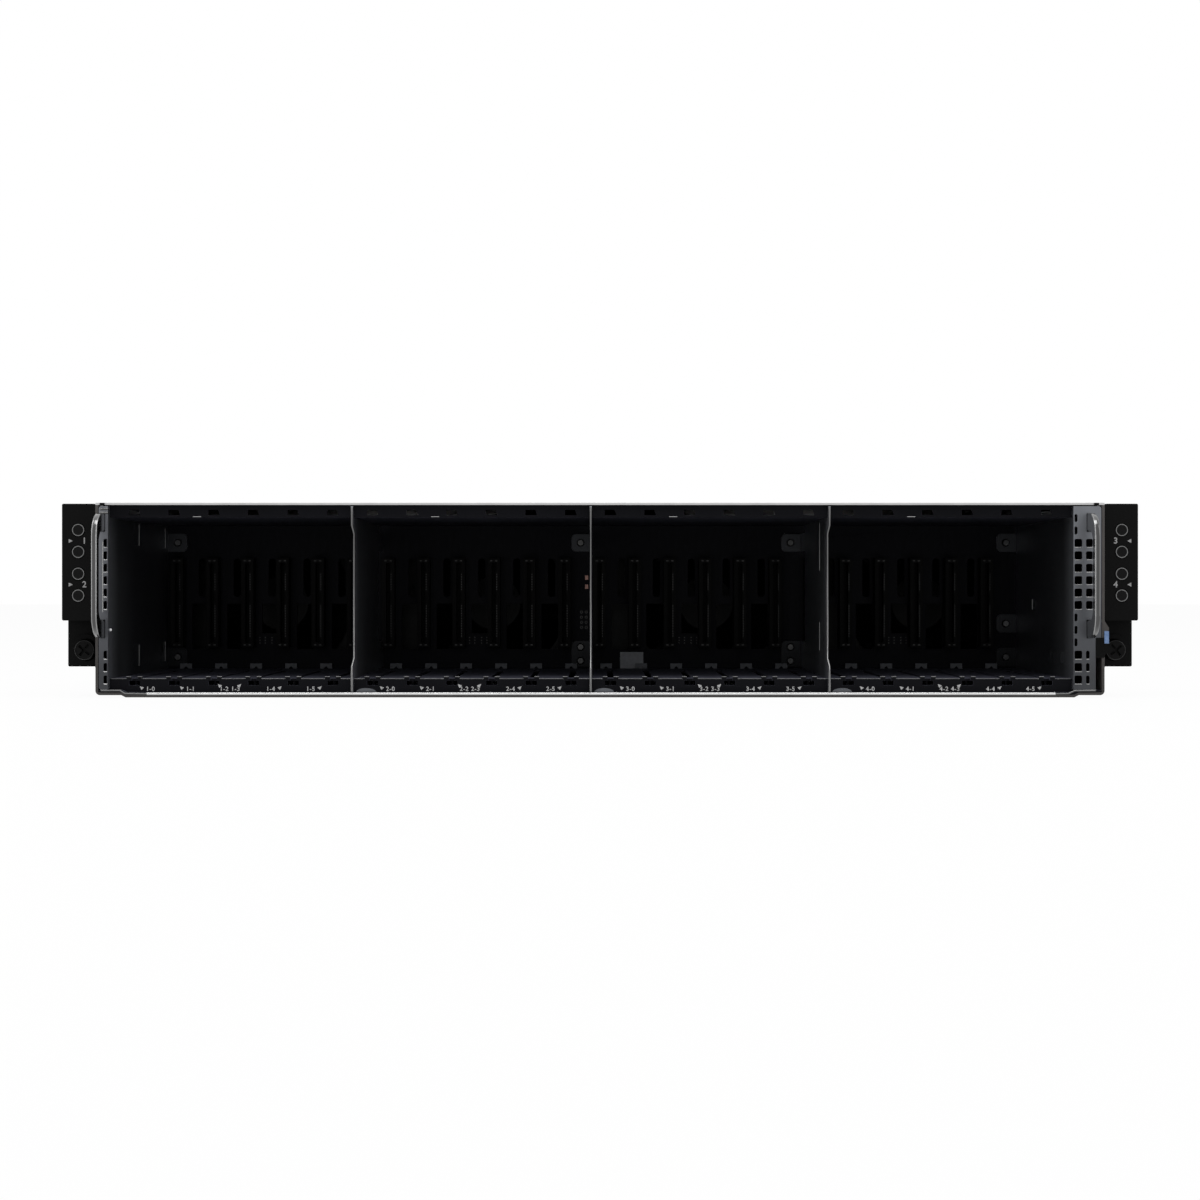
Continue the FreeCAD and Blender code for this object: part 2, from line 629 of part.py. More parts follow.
def tab_screw_places():
    """Screw places of every backplane tab."""
    places = [(CAGE_LEFT + TAB_SCREW_INSET, z) for z in LEFT_TAB_Z]
    places += [(CAGE_RIGHT - TAB_SCREW_INSET, z) for z in RIGHT_TAB_Z]
    for x in divider_places():
        places += [(x - CAGE_SHEET / 2 - TAB_SCREW_INSET, z) for z in TALL_SCREW_Z + (TAB_UPPER_Z,)]
    return places


def drive_backplane():
    """Board behind the bays with the vents between its connectors and its screw holes."""
    x_range = (CAGE_LEFT - CAGE_SHEET, CAGE_RIGHT + CAGE_SHEET)
    board = block(x_range, (BACKPLANE_Y, BACKPLANE_Y + BOARD_THICKNESS),
                  (BACKPLANE_BOTTOM_Z, BODY_HEIGHT - BACKPLANE_DROP))
    cut_y = (BACKPLANE_Y - CUT, BACKPLANE_Y + BOARD_THICKNESS + CUT)
    depth = cut_y[1] - cut_y[0]
    cuts = [rod(SCREW_RADIUS + SCREW_GAP, depth, (x, cut_y[0], z)) for x, z in tab_screw_places()]
    for group in range(GROUPS):
        for index, x in enumerate(group_bays(group)[:-1]):
            bottom = SHORT_VENT_BOTTOM_Z if index == SHORT_VENT_BAY else VENT_BOTTOM_Z
            cuts.append(block(around(x + VENT_OFFSET, VENT_WIDTH), cut_y, (bottom, VENT_TOP_Z)))
            slit = block(around(x + SLIT_OFFSET, SLIT_WIDTH), cut_y, (SLIT_BOTTOM_Z, CONNECTOR_TOP_Z))
            cuts.append(round_along(slit, (0, 1, 0), SLIT_CORNER))
    return board.cut(cuts)


def drive_connectors():
    """One upright slotted connector for each bay."""
    margin = 2 * CONNECTOR_WALL
    front = BACKPLANE_Y - CONNECTOR_DEPTH
    solids = []
    for bay in all_bays():
        x = bay + CONNECTOR_OFFSET
        body = block(around(x, CONNECTOR_WIDTH), (front, BACKPLANE_Y), (CONNECTOR_BOTTOM_Z, CONNECTOR_TOP_Z))
        slot = block(around(x, CONNECTOR_SLOT), (front - CUT, BACKPLANE_Y - margin),
                     (CONNECTOR_BOTTOM_Z + margin, CONNECTOR_TOP_Z - margin))
        solids.append(body.cut(slot))
    return Part.makeCompound(solids)


def panel_screws():
    """Cone-head screws through the tabs into the backplane."""
    head = CAGE_DEPTH - SCREW_HEAD_HEIGHT
    tip = BACKPLANE_Y + BOARD_THICKNESS
    profile = [(0, head), (SCREW_HEAD_TOP_RADIUS, head), (SCREW_HEAD_RADIUS, CAGE_DEPTH),
               (SCREW_RADIUS, CAGE_DEPTH), (SCREW_RADIUS, tip), (0, tip)]
    return Part.makeCompound([turned(profile, x, z) for x, z in tab_screw_places()])


def pull_handle(middle_x):
    """Flat bent-strip handle standing forward, its two feet in the flange slots."""
    low = HANDLE_FOOT_Z[0] - HANDLE_FOOT_HEIGHT / 2
    high = HANDLE_FOOT_Z[1] + HANDLE_FOOT_HEIGHT / 2
    tip = FRONT - HANDLE_REACH
    outer = block(around(middle_x, HANDLE_STRIP), (tip, FRONT + CAGE_SHEET), (low, high))
    outer = round_along(outer, (1, 0, 0), HANDLE_CORNER, lambda middle: middle.y < FRONT)
    inner = block(around(middle_x, HANDLE_STRIP + 2 * CUT), (tip + HANDLE_GRIP, FRONT + CAGE_SHEET + CUT),
                  (low + HANDLE_FOOT_HEIGHT, high - HANDLE_FOOT_HEIGHT))
    inner = round_along(inner, (1, 0, 0), HANDLE_INNER_CORNER, lambda middle: middle.y < FRONT)
    strip = outer.cut(inner)
    rims = [edge for edge in strip.Edges
            if abs(edge.CenterOfMass.x - middle_x) > HANDLE_STRIP / 4 and edge.CenterOfMass.y < FRONT]
    return strip.makeChamfer(HANDLE_EDGE, rims)


def rack_ear():
    """Left ear: side plate, back plate and lower block with the captive screw's bore."""
    outer = -RACK_WIDTH / 2
    front = EAR_FACE_Y + BLOCK_SETBACK
    side = block((-EAR_INNER, -HALF_BODY), (EAR_FACE_Y, EAR_SIDE_END), (BLOCK_BOTTOM_Z, PANEL_TOP_Z))
    back = block((outer, -EAR_INNER), (EAR_REAR - EAR_BACK, EAR_REAR), (PANEL_BOTTOM_Z, PANEL_TOP_Z))
    lower = block((outer, -EAR_INNER), (front, EAR_REAR), (BLOCK_BOTTOM_Z, PANEL_BOTTOM_Z))
    lower = round_along(lower, (0, 1, 0), PANEL_CORNER,
                        lambda middle: middle.x < -RACK_SCREW_X and middle.z < RACK_SCREW_Z)
    centre = (-RACK_SCREW_X, front - BOSS_RISE, RACK_SCREW_Z)
    boss = rod(BOSS_RADIUS, BOSS_RISE, centre)
    recess = rod(KNOB_RADIUS + KNOB_GAP, BOSS_RISE + KNOB_SINK, centre)
    bore = rod(RACK_SCREW_RADIUS + RUN_GAP, EAR_REAR - centre[1], centre)
    return join([side, back, lower, boss]).cut([recess, bore])


def thumbscrew():
    """Left captive rack screw: round head with a cross recess, plain shank, blunt tip."""
    seat = EAR_FACE_Y + BLOCK_SETBACK + KNOB_SINK - KNOB_SEAT_GAP
    top = seat - KNOB_HEIGHT
    tip = EAR_REAR + RACK_SCREW_REACH
    screw = turned([
        (0, top), (KNOB_RADIUS - KNOB_EDGE, top), (KNOB_RADIUS, top + KNOB_EDGE), (KNOB_RADIUS, seat),
        (RACK_SCREW_RADIUS, seat), (RACK_SCREW_RADIUS, EAR_REAR), (RACK_THREAD_RADIUS, EAR_REAR),
        (RACK_THREAD_RADIUS, tip - RACK_SCREW_POINT), (RACK_THREAD_RADIUS - RACK_SCREW_POINT, tip), (0, tip),
    ], -RACK_SCREW_X, RACK_SCREW_Z)
    depth = (top - CUT, top + CROSS_DEPTH)
    cross = join([block(around(-RACK_SCREW_X, width), depth, around(RACK_SCREW_Z, height))
                  for width, height in ((CROSS_LENGTH, CROSS_WIDTH), (CROSS_WIDTH, CROSS_LENGTH))])
    cross.rotate(Vector(-RACK_SCREW_X, 0, RACK_SCREW_Z), Vector(0, 1, 0), CROSS_ANGLE)
    return screw.cut(cross)


def control_panel():
    """Left control housing: moulded box open at the back, with its button holes."""
    outer = -RACK_WIDTH / 2
    rear = EAR_FACE_Y + PANEL_DEPTH
    shell = block((outer, -EAR_INNER), (EAR_FACE_Y, rear), (PANEL_BOTTOM_Z, PANEL_TOP_Z))
    shell = round_along(shell, (0, 1, 0), PANEL_CORNER)
    cavity = block((outer + PANEL_WALL, -EAR_INNER - PANEL_WALL), (EAR_FACE_Y + PANEL_WALL, rear + CUT),
                   (PANEL_BOTTOM_Z + PANEL_WALL, PANEL_TOP_Z - PANEL_WALL))
    holes = [rod(BUTTON_RADIUS + BUTTON_GAP, PANEL_WALL + 2 * CUT, (-BUTTON_X, EAR_FACE_Y - CUT, z))
             for z in BUTTON_Z]
    return shell.cut([cavity] + holes)


def control_board():
    """Left switch board with one tactile switch behind each button."""
    margin = PANEL_WALL + BOARD_EDGE_GAP
    face = SWITCH_Y + SWITCH_DEPTH
    board = block((-RACK_WIDTH / 2 + margin, -EAR_INNER - margin), (face, face + CONTROL_BOARD),
                  (PANEL_BOTTOM_Z + margin, PANEL_TOP_Z - margin))
    switches = [block(around(-BUTTON_X, SWITCH_SIZE), (SWITCH_Y, face), around(z, SWITCH_SIZE))
                for z in BUTTON_Z]
    return join([board] + switches)


def push_button(z):
    """Left push button: cap in its hole, retaining collar and stem to the switch."""
    top = EAR_FACE_Y - BUTTON_PROUD
    collar = EAR_FACE_Y + PANEL_WALL + BUTTON_SEAT_GAP
    foot = SWITCH_Y - BUTTON_TRAVEL - BUTTON_SEAT_GAP
    return turned([
        (0, top), (BUTTON_RADIUS - BUTTON_EDGE, top), (BUTTON_RADIUS, top + BUTTON_EDGE),
        (BUTTON_RADIUS, collar), (COLLAR_RADIUS, collar), (COLLAR_RADIUS, collar + COLLAR_DEPTH),
        (STEM_RADIUS, collar + COLLAR_DEPTH), (STEM_RADIUS, foot), (0, foot),
    ], -BUTTON_X, z)


def blade(root, tip, chord, camber, thickness):
    """One cambered fan blade along +X, its chord pitched from the Z direction towards Y."""
    def bow(rise):
        ends = [Vector(root, rise, -chord / 2), Vector(root, rise, chord / 2)]
        return Part.Arc(ends[0], Vector(root, rise + camber, 0), ends[1]).toShape(), ends
    front, front_ends = bow(-thickness / 2)
    rear, rear_ends = bow(thickness / 2)
    sides = [Part.makeLine(front_ends[index], rear_ends[index]) for index in (0, 1)]
    section = Part.Face(Part.Wire(Part.__sortEdges__([front, rear] + sides)))
    plate = section.extrude(Vector(tip - root, 0, 0))
    plate.rotate(Vector(0, 0, 0), Vector(1, 0, 0), BLADE_PITCH)
    return plate


def bladed_rotor(hub_radius, hub_depth, hub_edge, bore_radius, bore_depth, blades, one_blade):
    """Hub with a blind shaft bore in its rear face and evenly spaced blades, axis along Y."""
    pieces = [turned([(0, 0), (hub_radius - hub_edge, 0), (hub_radius, hub_edge), (hub_radius, hub_depth),
                      (0, hub_depth)], 0, 0)]
    for index in range(blades):
        placed = one_blade.copy()
        placed.translate(Vector(0, hub_depth / 2, 0))
        placed.rotate(Vector(0, 0, 0), Vector(0, 1, 0), 360 * index / blades)
        pieces.append(placed)
    return join(pieces).cut(rod(bore_radius, bore_depth, (0, hub_depth - bore_depth, 0)))


def fan_frame(x):
    """Square fan frame with its round duct, corner holes, rear spider and spindle."""
    rear = FAN_Y + FAN_DEPTH
    frame = block(around(x, FAN_SIZE), (FAN_Y, rear), around(FAN_Z, FAN_SIZE))
    frame = bevel_along(frame, (0, 1, 0), FAN_CORNER)
    cuts = [rod(FAN_DUCT_RADIUS, FAN_DEPTH, (x, FAN_Y, FAN_Z))]
    for hole_x in around(x, FAN_SIZE - 2 * FAN_HOLE_INSET):
        for hole_z in around(FAN_Z, FAN_SIZE - 2 * FAN_HOLE_INSET):
            cuts.append(rod(FAN_HOLE_RADIUS, FAN_DEPTH, (hole_x, FAN_Y, hole_z)))
    motor = rod(FAN_HUB_RADIUS, SPIDER_DEPTH, (x, MOTOR_Y, FAN_Z))
    spindle = rod(SPINDLE_RADIUS, SPINDLE_LENGTH, (x, MOTOR_Y - SPINDLE_LENGTH, FAN_Z))
    arms = []
    for index in range(SPIDER_ARMS):
        arm = block((0, FAN_DUCT_RADIUS + FAN_DUCT_WALL / 2), (MOTOR_Y, rear), around(0, SPIDER_ARM))
        arm.rotate(Vector(0, 0, 0), Vector(0, 1, 0), SPIDER_ANGLE + 360 * index / SPIDER_ARMS)
        arm.translate(Vector(x, 0, FAN_Z))
        arms.append(arm)
    return join([frame.cut(cuts), motor, spindle] + arms)


def fan_rotor(x):
    """Rotor that runs on a fan frame's spindle."""
    one = blade(FAN_HUB_RADIUS - BLADE_ROOT_SINK, FAN_DUCT_RADIUS - FAN_TIP_GAP, FAN_CHORD, FAN_CAMBER,
                FAN_BLADE_THICKNESS)
    rotor = bladed_rotor(FAN_HUB_RADIUS, FAN_HUB_DEPTH, FAN_HUB_EDGE, SPINDLE_RADIUS + RUN_GAP,
                         SPINDLE_LENGTH - ROTOR_REAR_GAP + FIT_GAP, FAN_BLADES, one)
    rotor.translate(Vector(x, MOTOR_Y - ROTOR_REAR_GAP - FAN_HUB_DEPTH, FAN_Z))
    return rotor


def fan_partition():
    """Sheet wall in front of the fans with one round opening for each."""
    wall = block((-LINING, LINING), (FAN_Y - PAN_SHEET, FAN_Y), (PAN_SHEET + FLOOR_STEP, INNER_TOP_Z))
    return wall.cut([rod(FAN_DUCT_RADIUS, PAN_SHEET + 2 * CUT, (x, FAN_Y - PAN_SHEET - CUT, FAN_Z))
                     for x in FAN_X])


def midplane():
    """Right midplane board with a row of air slots near its lower and upper edges."""
    y_range = (MIDPLANE_Y, MIDPLANE_Y + BOARD_THICKNESS)
    board = block((CHANNEL_OUTER, LINING), y_range, (PAN_SHEET + FLOOR_STEP, INNER_TOP_Z))
    step = (LINING - CHANNEL_OUTER) / MIDPLANE_SLOTS
    slots = []
    cut_y = (y_range[0] - CUT, y_range[1] + CUT)
    for middle_z in (NODE_CONNECTOR_Z[0] - MIDPLANE_SLOT_OFFSET, NODE_CONNECTOR_Z[1] + MIDPLANE_SLOT_OFFSET):
        for index in range(MIDPLANE_SLOTS):
            middle_x = CHANNEL_OUTER + (index + 0.5) * step
            slots.append(block(around(middle_x, MIDPLANE_SLOT_WIDTH), cut_y,
                               around(middle_z, MIDPLANE_SLOT_HEIGHT)))
    return board.cut(slots)


def sled_connectors():
    """Four slotted receptacles on the rear of the midplanes, one for each node."""
    middle = (CHANNEL_OUTER + PAN_INNER) / 2
    face = MIDPLANE_Y + BOARD_THICKNESS
    solids = []
    for x in (-middle, middle):
        for z in NODE_CONNECTOR_Z:
            body = block(around(x, NODE_CONNECTOR_WIDTH), (face, face + NODE_CONNECTOR_DEPTH),
                         around(z, NODE_CONNECTOR_HEIGHT))
            slot_y = (face + CONNECTOR_WALL, face + NODE_CONNECTOR_DEPTH + CUT)
            slot = block(around(x, NODE_CONNECTOR_WIDTH - 2 * CONNECTOR_WALL), slot_y,
                         around(z, CONNECTOR_SLOT))
            solids.append(body.cut(slot))
    return Part.makeCompound(solids)


def channel_wall():
    """Right wall of the centre channel."""
    return block((CHANNEL_INNER, CHANNEL_OUTER), (MIDPLANE_Y, BODY_DEPTH), (PAN_SHEET, COVER_Z - FIT_GAP))


def node_shelf():
    """Right shelf between two stacked node bays."""
    return block((CHANNEL_OUTER, LINING), (MIDPLANE_Y + BOARD_THICKNESS, BODY_DEPTH),
                 (SHELF_Z, SHELF_Z + CAGE_SHEET))


def psu_shelf():
    """Shelf that carries the upper power supply."""
    return block((-CHANNEL_INNER, CHANNEL_INNER), (POWER_BOARD_Y + BOARD_THICKNESS, BODY_DEPTH),
                 (SHELF_Z, SHELF_Z + CAGE_SHEET))


def power_board():
    """Upright board across the channel with a receptacle for each power supply."""
    rear = POWER_BOARD_Y + BOARD_THICKNESS
    board = block((-CHANNEL_INNER, CHANNEL_INNER), (POWER_BOARD_Y, rear), (PAN_SHEET, COVER_Z - FIT_GAP))
    receptacles = [block(around(0, RECEPTACLE_WIDTH), (rear, PSU_FRONT - FIT_GAP),
                         around(base + PSU_HEIGHT / 2, RECEPTACLE_HEIGHT)) for base in PSU_BASE_Z]
    return join([board] + receptacles)


def psu_case(base):
    """Power supply case with its inlet pocket, fan well, grille, spindle and latch notch."""
    z = base + PSU_HEIGHT / 2
    half = PSU_WIDTH / 2
    case = block((-half, half), (PSU_FRONT, BODY_DEPTH), (base, base + PSU_HEIGHT))
    case = round_along(case, (0, 1, 0), PSU_CORNER)
    inlet = block(*inlet_box(z, 0))
    well = rod(PSU_WELL_RADIUS, PSU_WELL_DEPTH, (PSU_FAN_X, PSU_WELL_Y, z))
    notch = block((half - LATCH_NOTCH, half + CUT), (BODY_DEPTH - LATCH_FRONT, BODY_DEPTH + CUT),
                  around(z, LATCH_HEIGHT + 2 * FIT_GAP))
    pin_length = LATCH_PIN_LENGTH + 2 * FIT_GAP
    pin = rod(LATCH_PIN_RADIUS + RUN_GAP, pin_length,
              (LATCH_X, BODY_DEPTH - LATCH_PIVOT, z - pin_length / 2), (0, 0, 1))
    spindle = rod(PSU_SPINDLE, PSU_SPINDLE_LENGTH, (PSU_FAN_X, PSU_WELL_Y, z))
    return join([case.cut([inlet, well, notch, pin] + grille_rings(z)), spindle])


def grille_rings(z):
    """Ring-shaped openings of a fan grille, crossed by two bars."""
    y_range = (BODY_DEPTH - PSU_SKIN - CUT, BODY_DEPTH + CUT)
    start = (PSU_FAN_X, y_range[0], z)
    depth = y_range[1] - y_range[0]
    bars = [block(around(PSU_FAN_X, width), y_range, around(z, height))
            for width, height in ((2 * GRILLE_BAR, PSU_HEIGHT), (PSU_HEIGHT, 2 * GRILLE_BAR))]
    step = (PSU_WELL_RADIUS - GRILLE_HUB) / GRILLE_RINGS
    rings = []
    for index in range(GRILLE_RINGS):
        inner = GRILLE_HUB + index * step
        ring = rod(inner + step - GRILLE_WIRE, depth, start).cut(rod(inner, depth, start))
        rings.append(ring.cut(bars))
    return rings


def inlet_box(z, margin):
    """Limits of the inlet pocket, drawn in by a margin at its sides."""
    return (around(INLET_X, INLET_WIDTH - 2 * margin), (BODY_DEPTH - INLET_DEPTH, BODY_DEPTH),
            around(z, INLET_HEIGHT - 2 * margin))


def psu_inlet(base):
    """Mains inlet with its well, bevelled at the top, and three blades."""
    z = base + PSU_HEIGHT / 2
    x_range, y_range, z_range = inlet_box(z, INLET_GAP)
    floor = y_range[0] + INLET_WALL
    well = block(around(INLET_X, INLET_WIDTH - 2 * INLET_WALL), (floor, BODY_DEPTH + CUT),
                 around(z, INLET_HEIGHT - 2 * INLET_WALL))
    well = bevel_along(well, (0, 1, 0), INLET_CHAMFER, lambda middle: middle.z > z)
    blades = []
    for dx, dz in ((-INLET_BLADE_PITCH, 0), (INLET_BLADE_PITCH, 0), (0, INLET_BLADE_RISE)):
        blades.append(block(around(INLET_X + dx, INLET_BLADE_WIDTH), (floor, BODY_DEPTH - INLET_BLADE_SINK),
                            around(z + dz, INLET_BLADE_HEIGHT)))
    return join([block(x_range, y_range, z_range).cut(well)] + blades)


def psu_fan(base):
    """Small rotor in the fan well of a power supply."""
    one = blade(PSU_HUB_RADIUS - BLADE_ROOT_SINK, PSU_WELL_RADIUS - PSU_TIP_GAP, PSU_CHORD, PSU_CAMBER,
                PSU_BLADE_THICKNESS)
    rotor = bladed_rotor(PSU_HUB_RADIUS, PSU_HUB_DEPTH, PSU_HUB_EDGE, PSU_SPINDLE + RUN_GAP,
                         PSU_SPINDLE_LENGTH - ROTOR_REAR_GAP + FIT_GAP, PSU_BLADES, one)
    rotor.rotate(Vector(0, 0, 0), Vector(0, 0, 1), 180)
    rotor.translate(Vector(PSU_FAN_X, PSU_WELL_Y + ROTOR_REAR_GAP + PSU_HUB_DEPTH, base + PSU_HEIGHT / 2))
    return rotor


def psu_handle(base):
    """Moulded loop handle on the rear of a power supply."""
    low = base + PSU_HANDLE_MARGIN
    high = base + PSU_HEIGHT - PSU_HANDLE_MARGIN
    tip = BODY_DEPTH + PSU_HANDLE_REACH
    outer = block(around(PSU_HANDLE_X, PSU_HANDLE_WIDTH), (BODY_DEPTH, tip), (low, high))
    outer = round_along(outer, (1, 0, 0), PSU_HANDLE_CORNER, lambda middle: middle.y > BODY_DEPTH + CUT)
    inner = block(around(PSU_HANDLE_X, PSU_HANDLE_WIDTH + 2 * CUT), (BODY_DEPTH - CUT, tip - PSU_HANDLE_BAR),
                  (low + PSU_HANDLE_BAR, high - PSU_HANDLE_BAR))
    inner = round_along(inner, (1, 0, 0), PSU_HANDLE_INNER_CORNER, lambda middle: middle.y > BODY_DEPTH)
    return outer.cut(inner)


def psu_latch(base):
    """Spring latch of a power supply: lever, locking nose, thumb tab and pivot pin."""
    z = base + PSU_HEIGHT / 2
    low, high = around(LATCH_X, LATCH_THICKNESS)
    front = BODY_DEPTH - LATCH_FRONT + 2 * FIT_GAP
    nose = front + LATCH_NOSE
    tip = BODY_DEPTH + LATCH_REACH
    lean = LATCH_TAB / 2
    outline = [
        (low, front), (high, front), (high + LATCH_NOSE, nose), (high + LATCH_NOSE, nose + LATCH_NOSE),
        (high, nose + LATCH_NOSE), (high, tip - LATCH_TAB), (high + lean, tip), (low + lean, tip),
        (low, tip - LATCH_TAB),
    ]
    lever = prism([(x, y, z - LATCH_HEIGHT / 2) for x, y in outline], (0, 0, LATCH_HEIGHT))
    pin = rod(LATCH_PIN_RADIUS, LATCH_PIN_LENGTH,
              (LATCH_X, BODY_DEPTH - LATCH_PIVOT, z - LATCH_PIN_LENGTH / 2), (0, 0, 1))
    return join([lever, pin])


def cover(y_range, lip_start):
    """Flat lid with a lip folded down inside each pan wall."""
    plate = block((-HALF_BODY, HALF_BODY), y_range, (COVER_Z, BODY_HEIGHT))
    lip = block((LINING - COVER_SHEET, LINING), (lip_start, y_range[1]), (COVER_Z - COVER_LIP, COVER_Z))
    return join([plate, lip, mirror_x(lip)])


def oblong(length, width, low, high):
    """Upright plate with round ends, centred on the cover lock."""
    run = length - width
    ends = [rod(width / 2, high - low, (x, LOCK_Y, low), (0, 0, 1)) for x in around(0, run)]
    return join([block(around(0, run), around(LOCK_Y, width), (low, high))] + ends)


def rear_top_cover():
    """Sliding lid over the fans and nodes, with the hole for its lock."""
    lid = cover((COVER_SPLIT_Y + FIT_GAP, BODY_DEPTH), COVER_SPLIT_Y + FIT_GAP)
    return lid.cut(oblong(LOCK_LENGTH + 2 * LOCK_GAP, LOCK_WIDTH + 2 * LOCK_GAP,
                          COVER_Z - CUT, BODY_HEIGHT + CUT))


def cover_lock():
    """Press lock in the rear lid, held by its collar under the sheet."""
    collar_top = COVER_Z - LOCK_SEAT_GAP
    cap = oblong(LOCK_LENGTH, LOCK_WIDTH, collar_top - LOCK_COLLAR, BODY_HEIGHT - LOCK_SINK)
    collar = oblong(LOCK_LENGTH + 2 * LOCK_RIM, LOCK_WIDTH + 2 * LOCK_RIM,
                    collar_top - LOCK_COLLAR, collar_top)
    return join([cap, collar])


def save(name, shape):
    """Write one sub-part, moved so that the origin is below the middle of the whole object."""
    placed = shape.copy()
    placed.translate(Vector(0, -WHOLE_MIDDLE_Y, 0))
    placed.exportStep(os.path.join("parts", name + ".step"))


def save_shell():
    """Write the pan and the lids."""
    save("base_pan", base_pan())
    save("front_top_cover", cover((FRONT, COVER_SPLIT_Y), LIP_SETBACK))
    save("rear_top_cover", rear_top_cover())
    save("cover_lock", cover_lock())


def save_cage():
    """Write the drive cage with its backplane, screws and handles."""
    save("cage_left_wall", left_cage_wall())
    save("cage_right_wall", right_cage_wall())
    save("cage_floor", cage_floor())
    save("cage_ceiling", cage_ceiling())
    for number, x in enumerate(divider_places(), 1):
        save("divider_%d" % number, divider(x))
    save("drive_backplane", drive_backplane())
    save("drive_connectors", drive_connectors())
    save("panel_screws", panel_screws())
    save("left_handle", pull_handle(LEFT_HANDLE_X))
    save("right_handle", pull_handle(RIGHT_HANDLE_X))


def save_ears():
    """Write both rack ears with their controls, the right side mirrored from the left."""
    for name, shape in (("ear", rack_ear()), ("control_panel", control_panel()),
                        ("control_board", control_board()), ("thumbscrew", thumbscrew())):
        save("left_" + name, shape)
        save("right_" + name, mirror_x(shape))
    for number, z in enumerate(BUTTON_Z, 1):
        button = push_button(z)
        save("button_%d" % number, button)
        save("button_%d" % (number + BUTTON_COUNT), mirror_x(button))


def save_cooling():
    """Write the fan row."""
    save("fan_partition", fan_partition())
    for number, x in enumerate(FAN_X, 1):
        save("fan_frame_%d" % number, fan_frame(x))
        save("fan_rotor_%d" % number, fan_rotor(x))


def save_node_bays():
    """Write the boards, walls and shelves of the node bays and the centre channel."""
    for name, shape in (("midplane", midplane()), ("channel_wall", channel_wall()),
                        ("node_shelf", node_shelf())):
        save("right_" + name, shape)
        save("left_" + name, mirror_x(shape))
    save("sled_connectors", sled_connectors())
    save("psu_shelf", psu_shelf())
    save("power_board", power_board())


def save_power_supplies():
    """Write both power supplies, the lower one first."""
    makers = (("case", psu_case), ("inlet", psu_inlet), ("fan", psu_fan), ("handle", psu_handle),
              ("latch", psu_latch))
    for number, base in enumerate(PSU_BASE_Z, 1):
        for name, maker in makers:
            save("psu_%d_%s" % (number, name), maker(base))


os.makedirs("parts", exist_ok=True)
save_shell()
save_cage()
save_ears()
save_cooling()
save_node_bays()
save_power_supplies()
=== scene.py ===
import math

import bpy
import bmesh
from mathutils import Matrix, Vector


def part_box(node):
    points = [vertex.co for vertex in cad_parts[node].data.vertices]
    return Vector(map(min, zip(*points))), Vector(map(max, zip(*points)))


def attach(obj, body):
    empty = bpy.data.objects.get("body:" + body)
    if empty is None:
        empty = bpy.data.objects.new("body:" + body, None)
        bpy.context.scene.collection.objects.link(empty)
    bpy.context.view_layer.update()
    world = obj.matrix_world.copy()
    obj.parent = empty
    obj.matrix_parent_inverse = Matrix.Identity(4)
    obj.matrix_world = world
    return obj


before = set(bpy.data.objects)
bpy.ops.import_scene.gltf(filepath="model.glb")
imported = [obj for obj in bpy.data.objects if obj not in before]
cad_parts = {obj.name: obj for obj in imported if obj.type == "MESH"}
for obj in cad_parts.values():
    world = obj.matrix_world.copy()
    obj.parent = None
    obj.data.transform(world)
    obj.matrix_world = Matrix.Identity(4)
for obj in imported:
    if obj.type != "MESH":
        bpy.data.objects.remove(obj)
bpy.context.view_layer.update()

MM = 0.001

# Photo geometry: the camera stands level in front of the middle of the drive bays
PHOTO_PIXELS = 1200
CAMERA_DISTANCE = 850 * MM
CAMERA_HEIGHT = 47 * MM
CAMERA_LENS = 56.86
CAMERA_SENSOR = 36.0
CAMERA_NEAR = 10 * MM
HORIZON_PIXELS = -8

# Floor and surround: the floor's white in the picture, the rest of it is shading
FLOOR_WHITE = 0.95
FLOOR_COLOUR = (0.8, 0.8, 0.8, 1)
FLOOR_ROUGHNESS = 0.8
FLOOR_SIZE = 12
FLOOR_GAP = 0.5 * MM
WHITE = (1, 1, 1, 1)
SKY_RISE = 0.6
SKY_LEVELS = (0.30, 0.75)

# Lamps: name, place, target, size and power
LAMPS = (
    ("top_light", (0, -0.9, 1.6), (0, -0.35, 0.04), (1.6, 0.6), 16),
    ("left_light", (-1.5, -0.8, 0.5), (-0.15, -0.38, 0.04), (0.4, 1.0), 4),
    ("right_light", (1.5, -0.8, 0.5), (0.15, -0.38, 0.04), (0.4, 1.0), 4),
)

# Rounding of sheet and plastic edges
WELD_GAP = 0.001 * MM
FINE_EDGE = 0.12 * MM
EDGE_WIDTHS = {"cage": 0.22 * MM, "black": 0.40 * MM, "screw": 0.25 * MM}
EDGE_SEGMENTS = 2
EDGE_ANGLE = math.radians(50)

# Quarter turns that stand lettering up and lay round shapes on their side
STANDING = Matrix.Rotation(math.radians(90), 4, "X")
SIDEWAYS = Matrix.Rotation(math.radians(90), 4, "Y")

# Steps of round shapes
RING_STEPS = 40
HOLE_STEPS = 16
MOON_STEPS = 16
CORNER_STEPS = 8
KNOB_STEPS = 48
BEAD_STEPS = 3
PIN_SEGMENTS = 20
PIN_RINGS = 12
RIVET_SEGMENTS = 24

# Grain of the surfaces, and the spans over which painted light and shade tone them
GRAIN_DETAIL = 4.0
RAMP_ENDS = (0.3, 0.7)
RELIEF_DEPTH = 0.1 * MM
FRONT_FACING = (-0.4, -0.9)
NEAR_SPAN = (-390 * MM, -372 * MM)
DEPTH_SPAN = (-388 * MM, -290 * MM)
HEIGHT_SPAN = (10 * MM, 80 * MM)

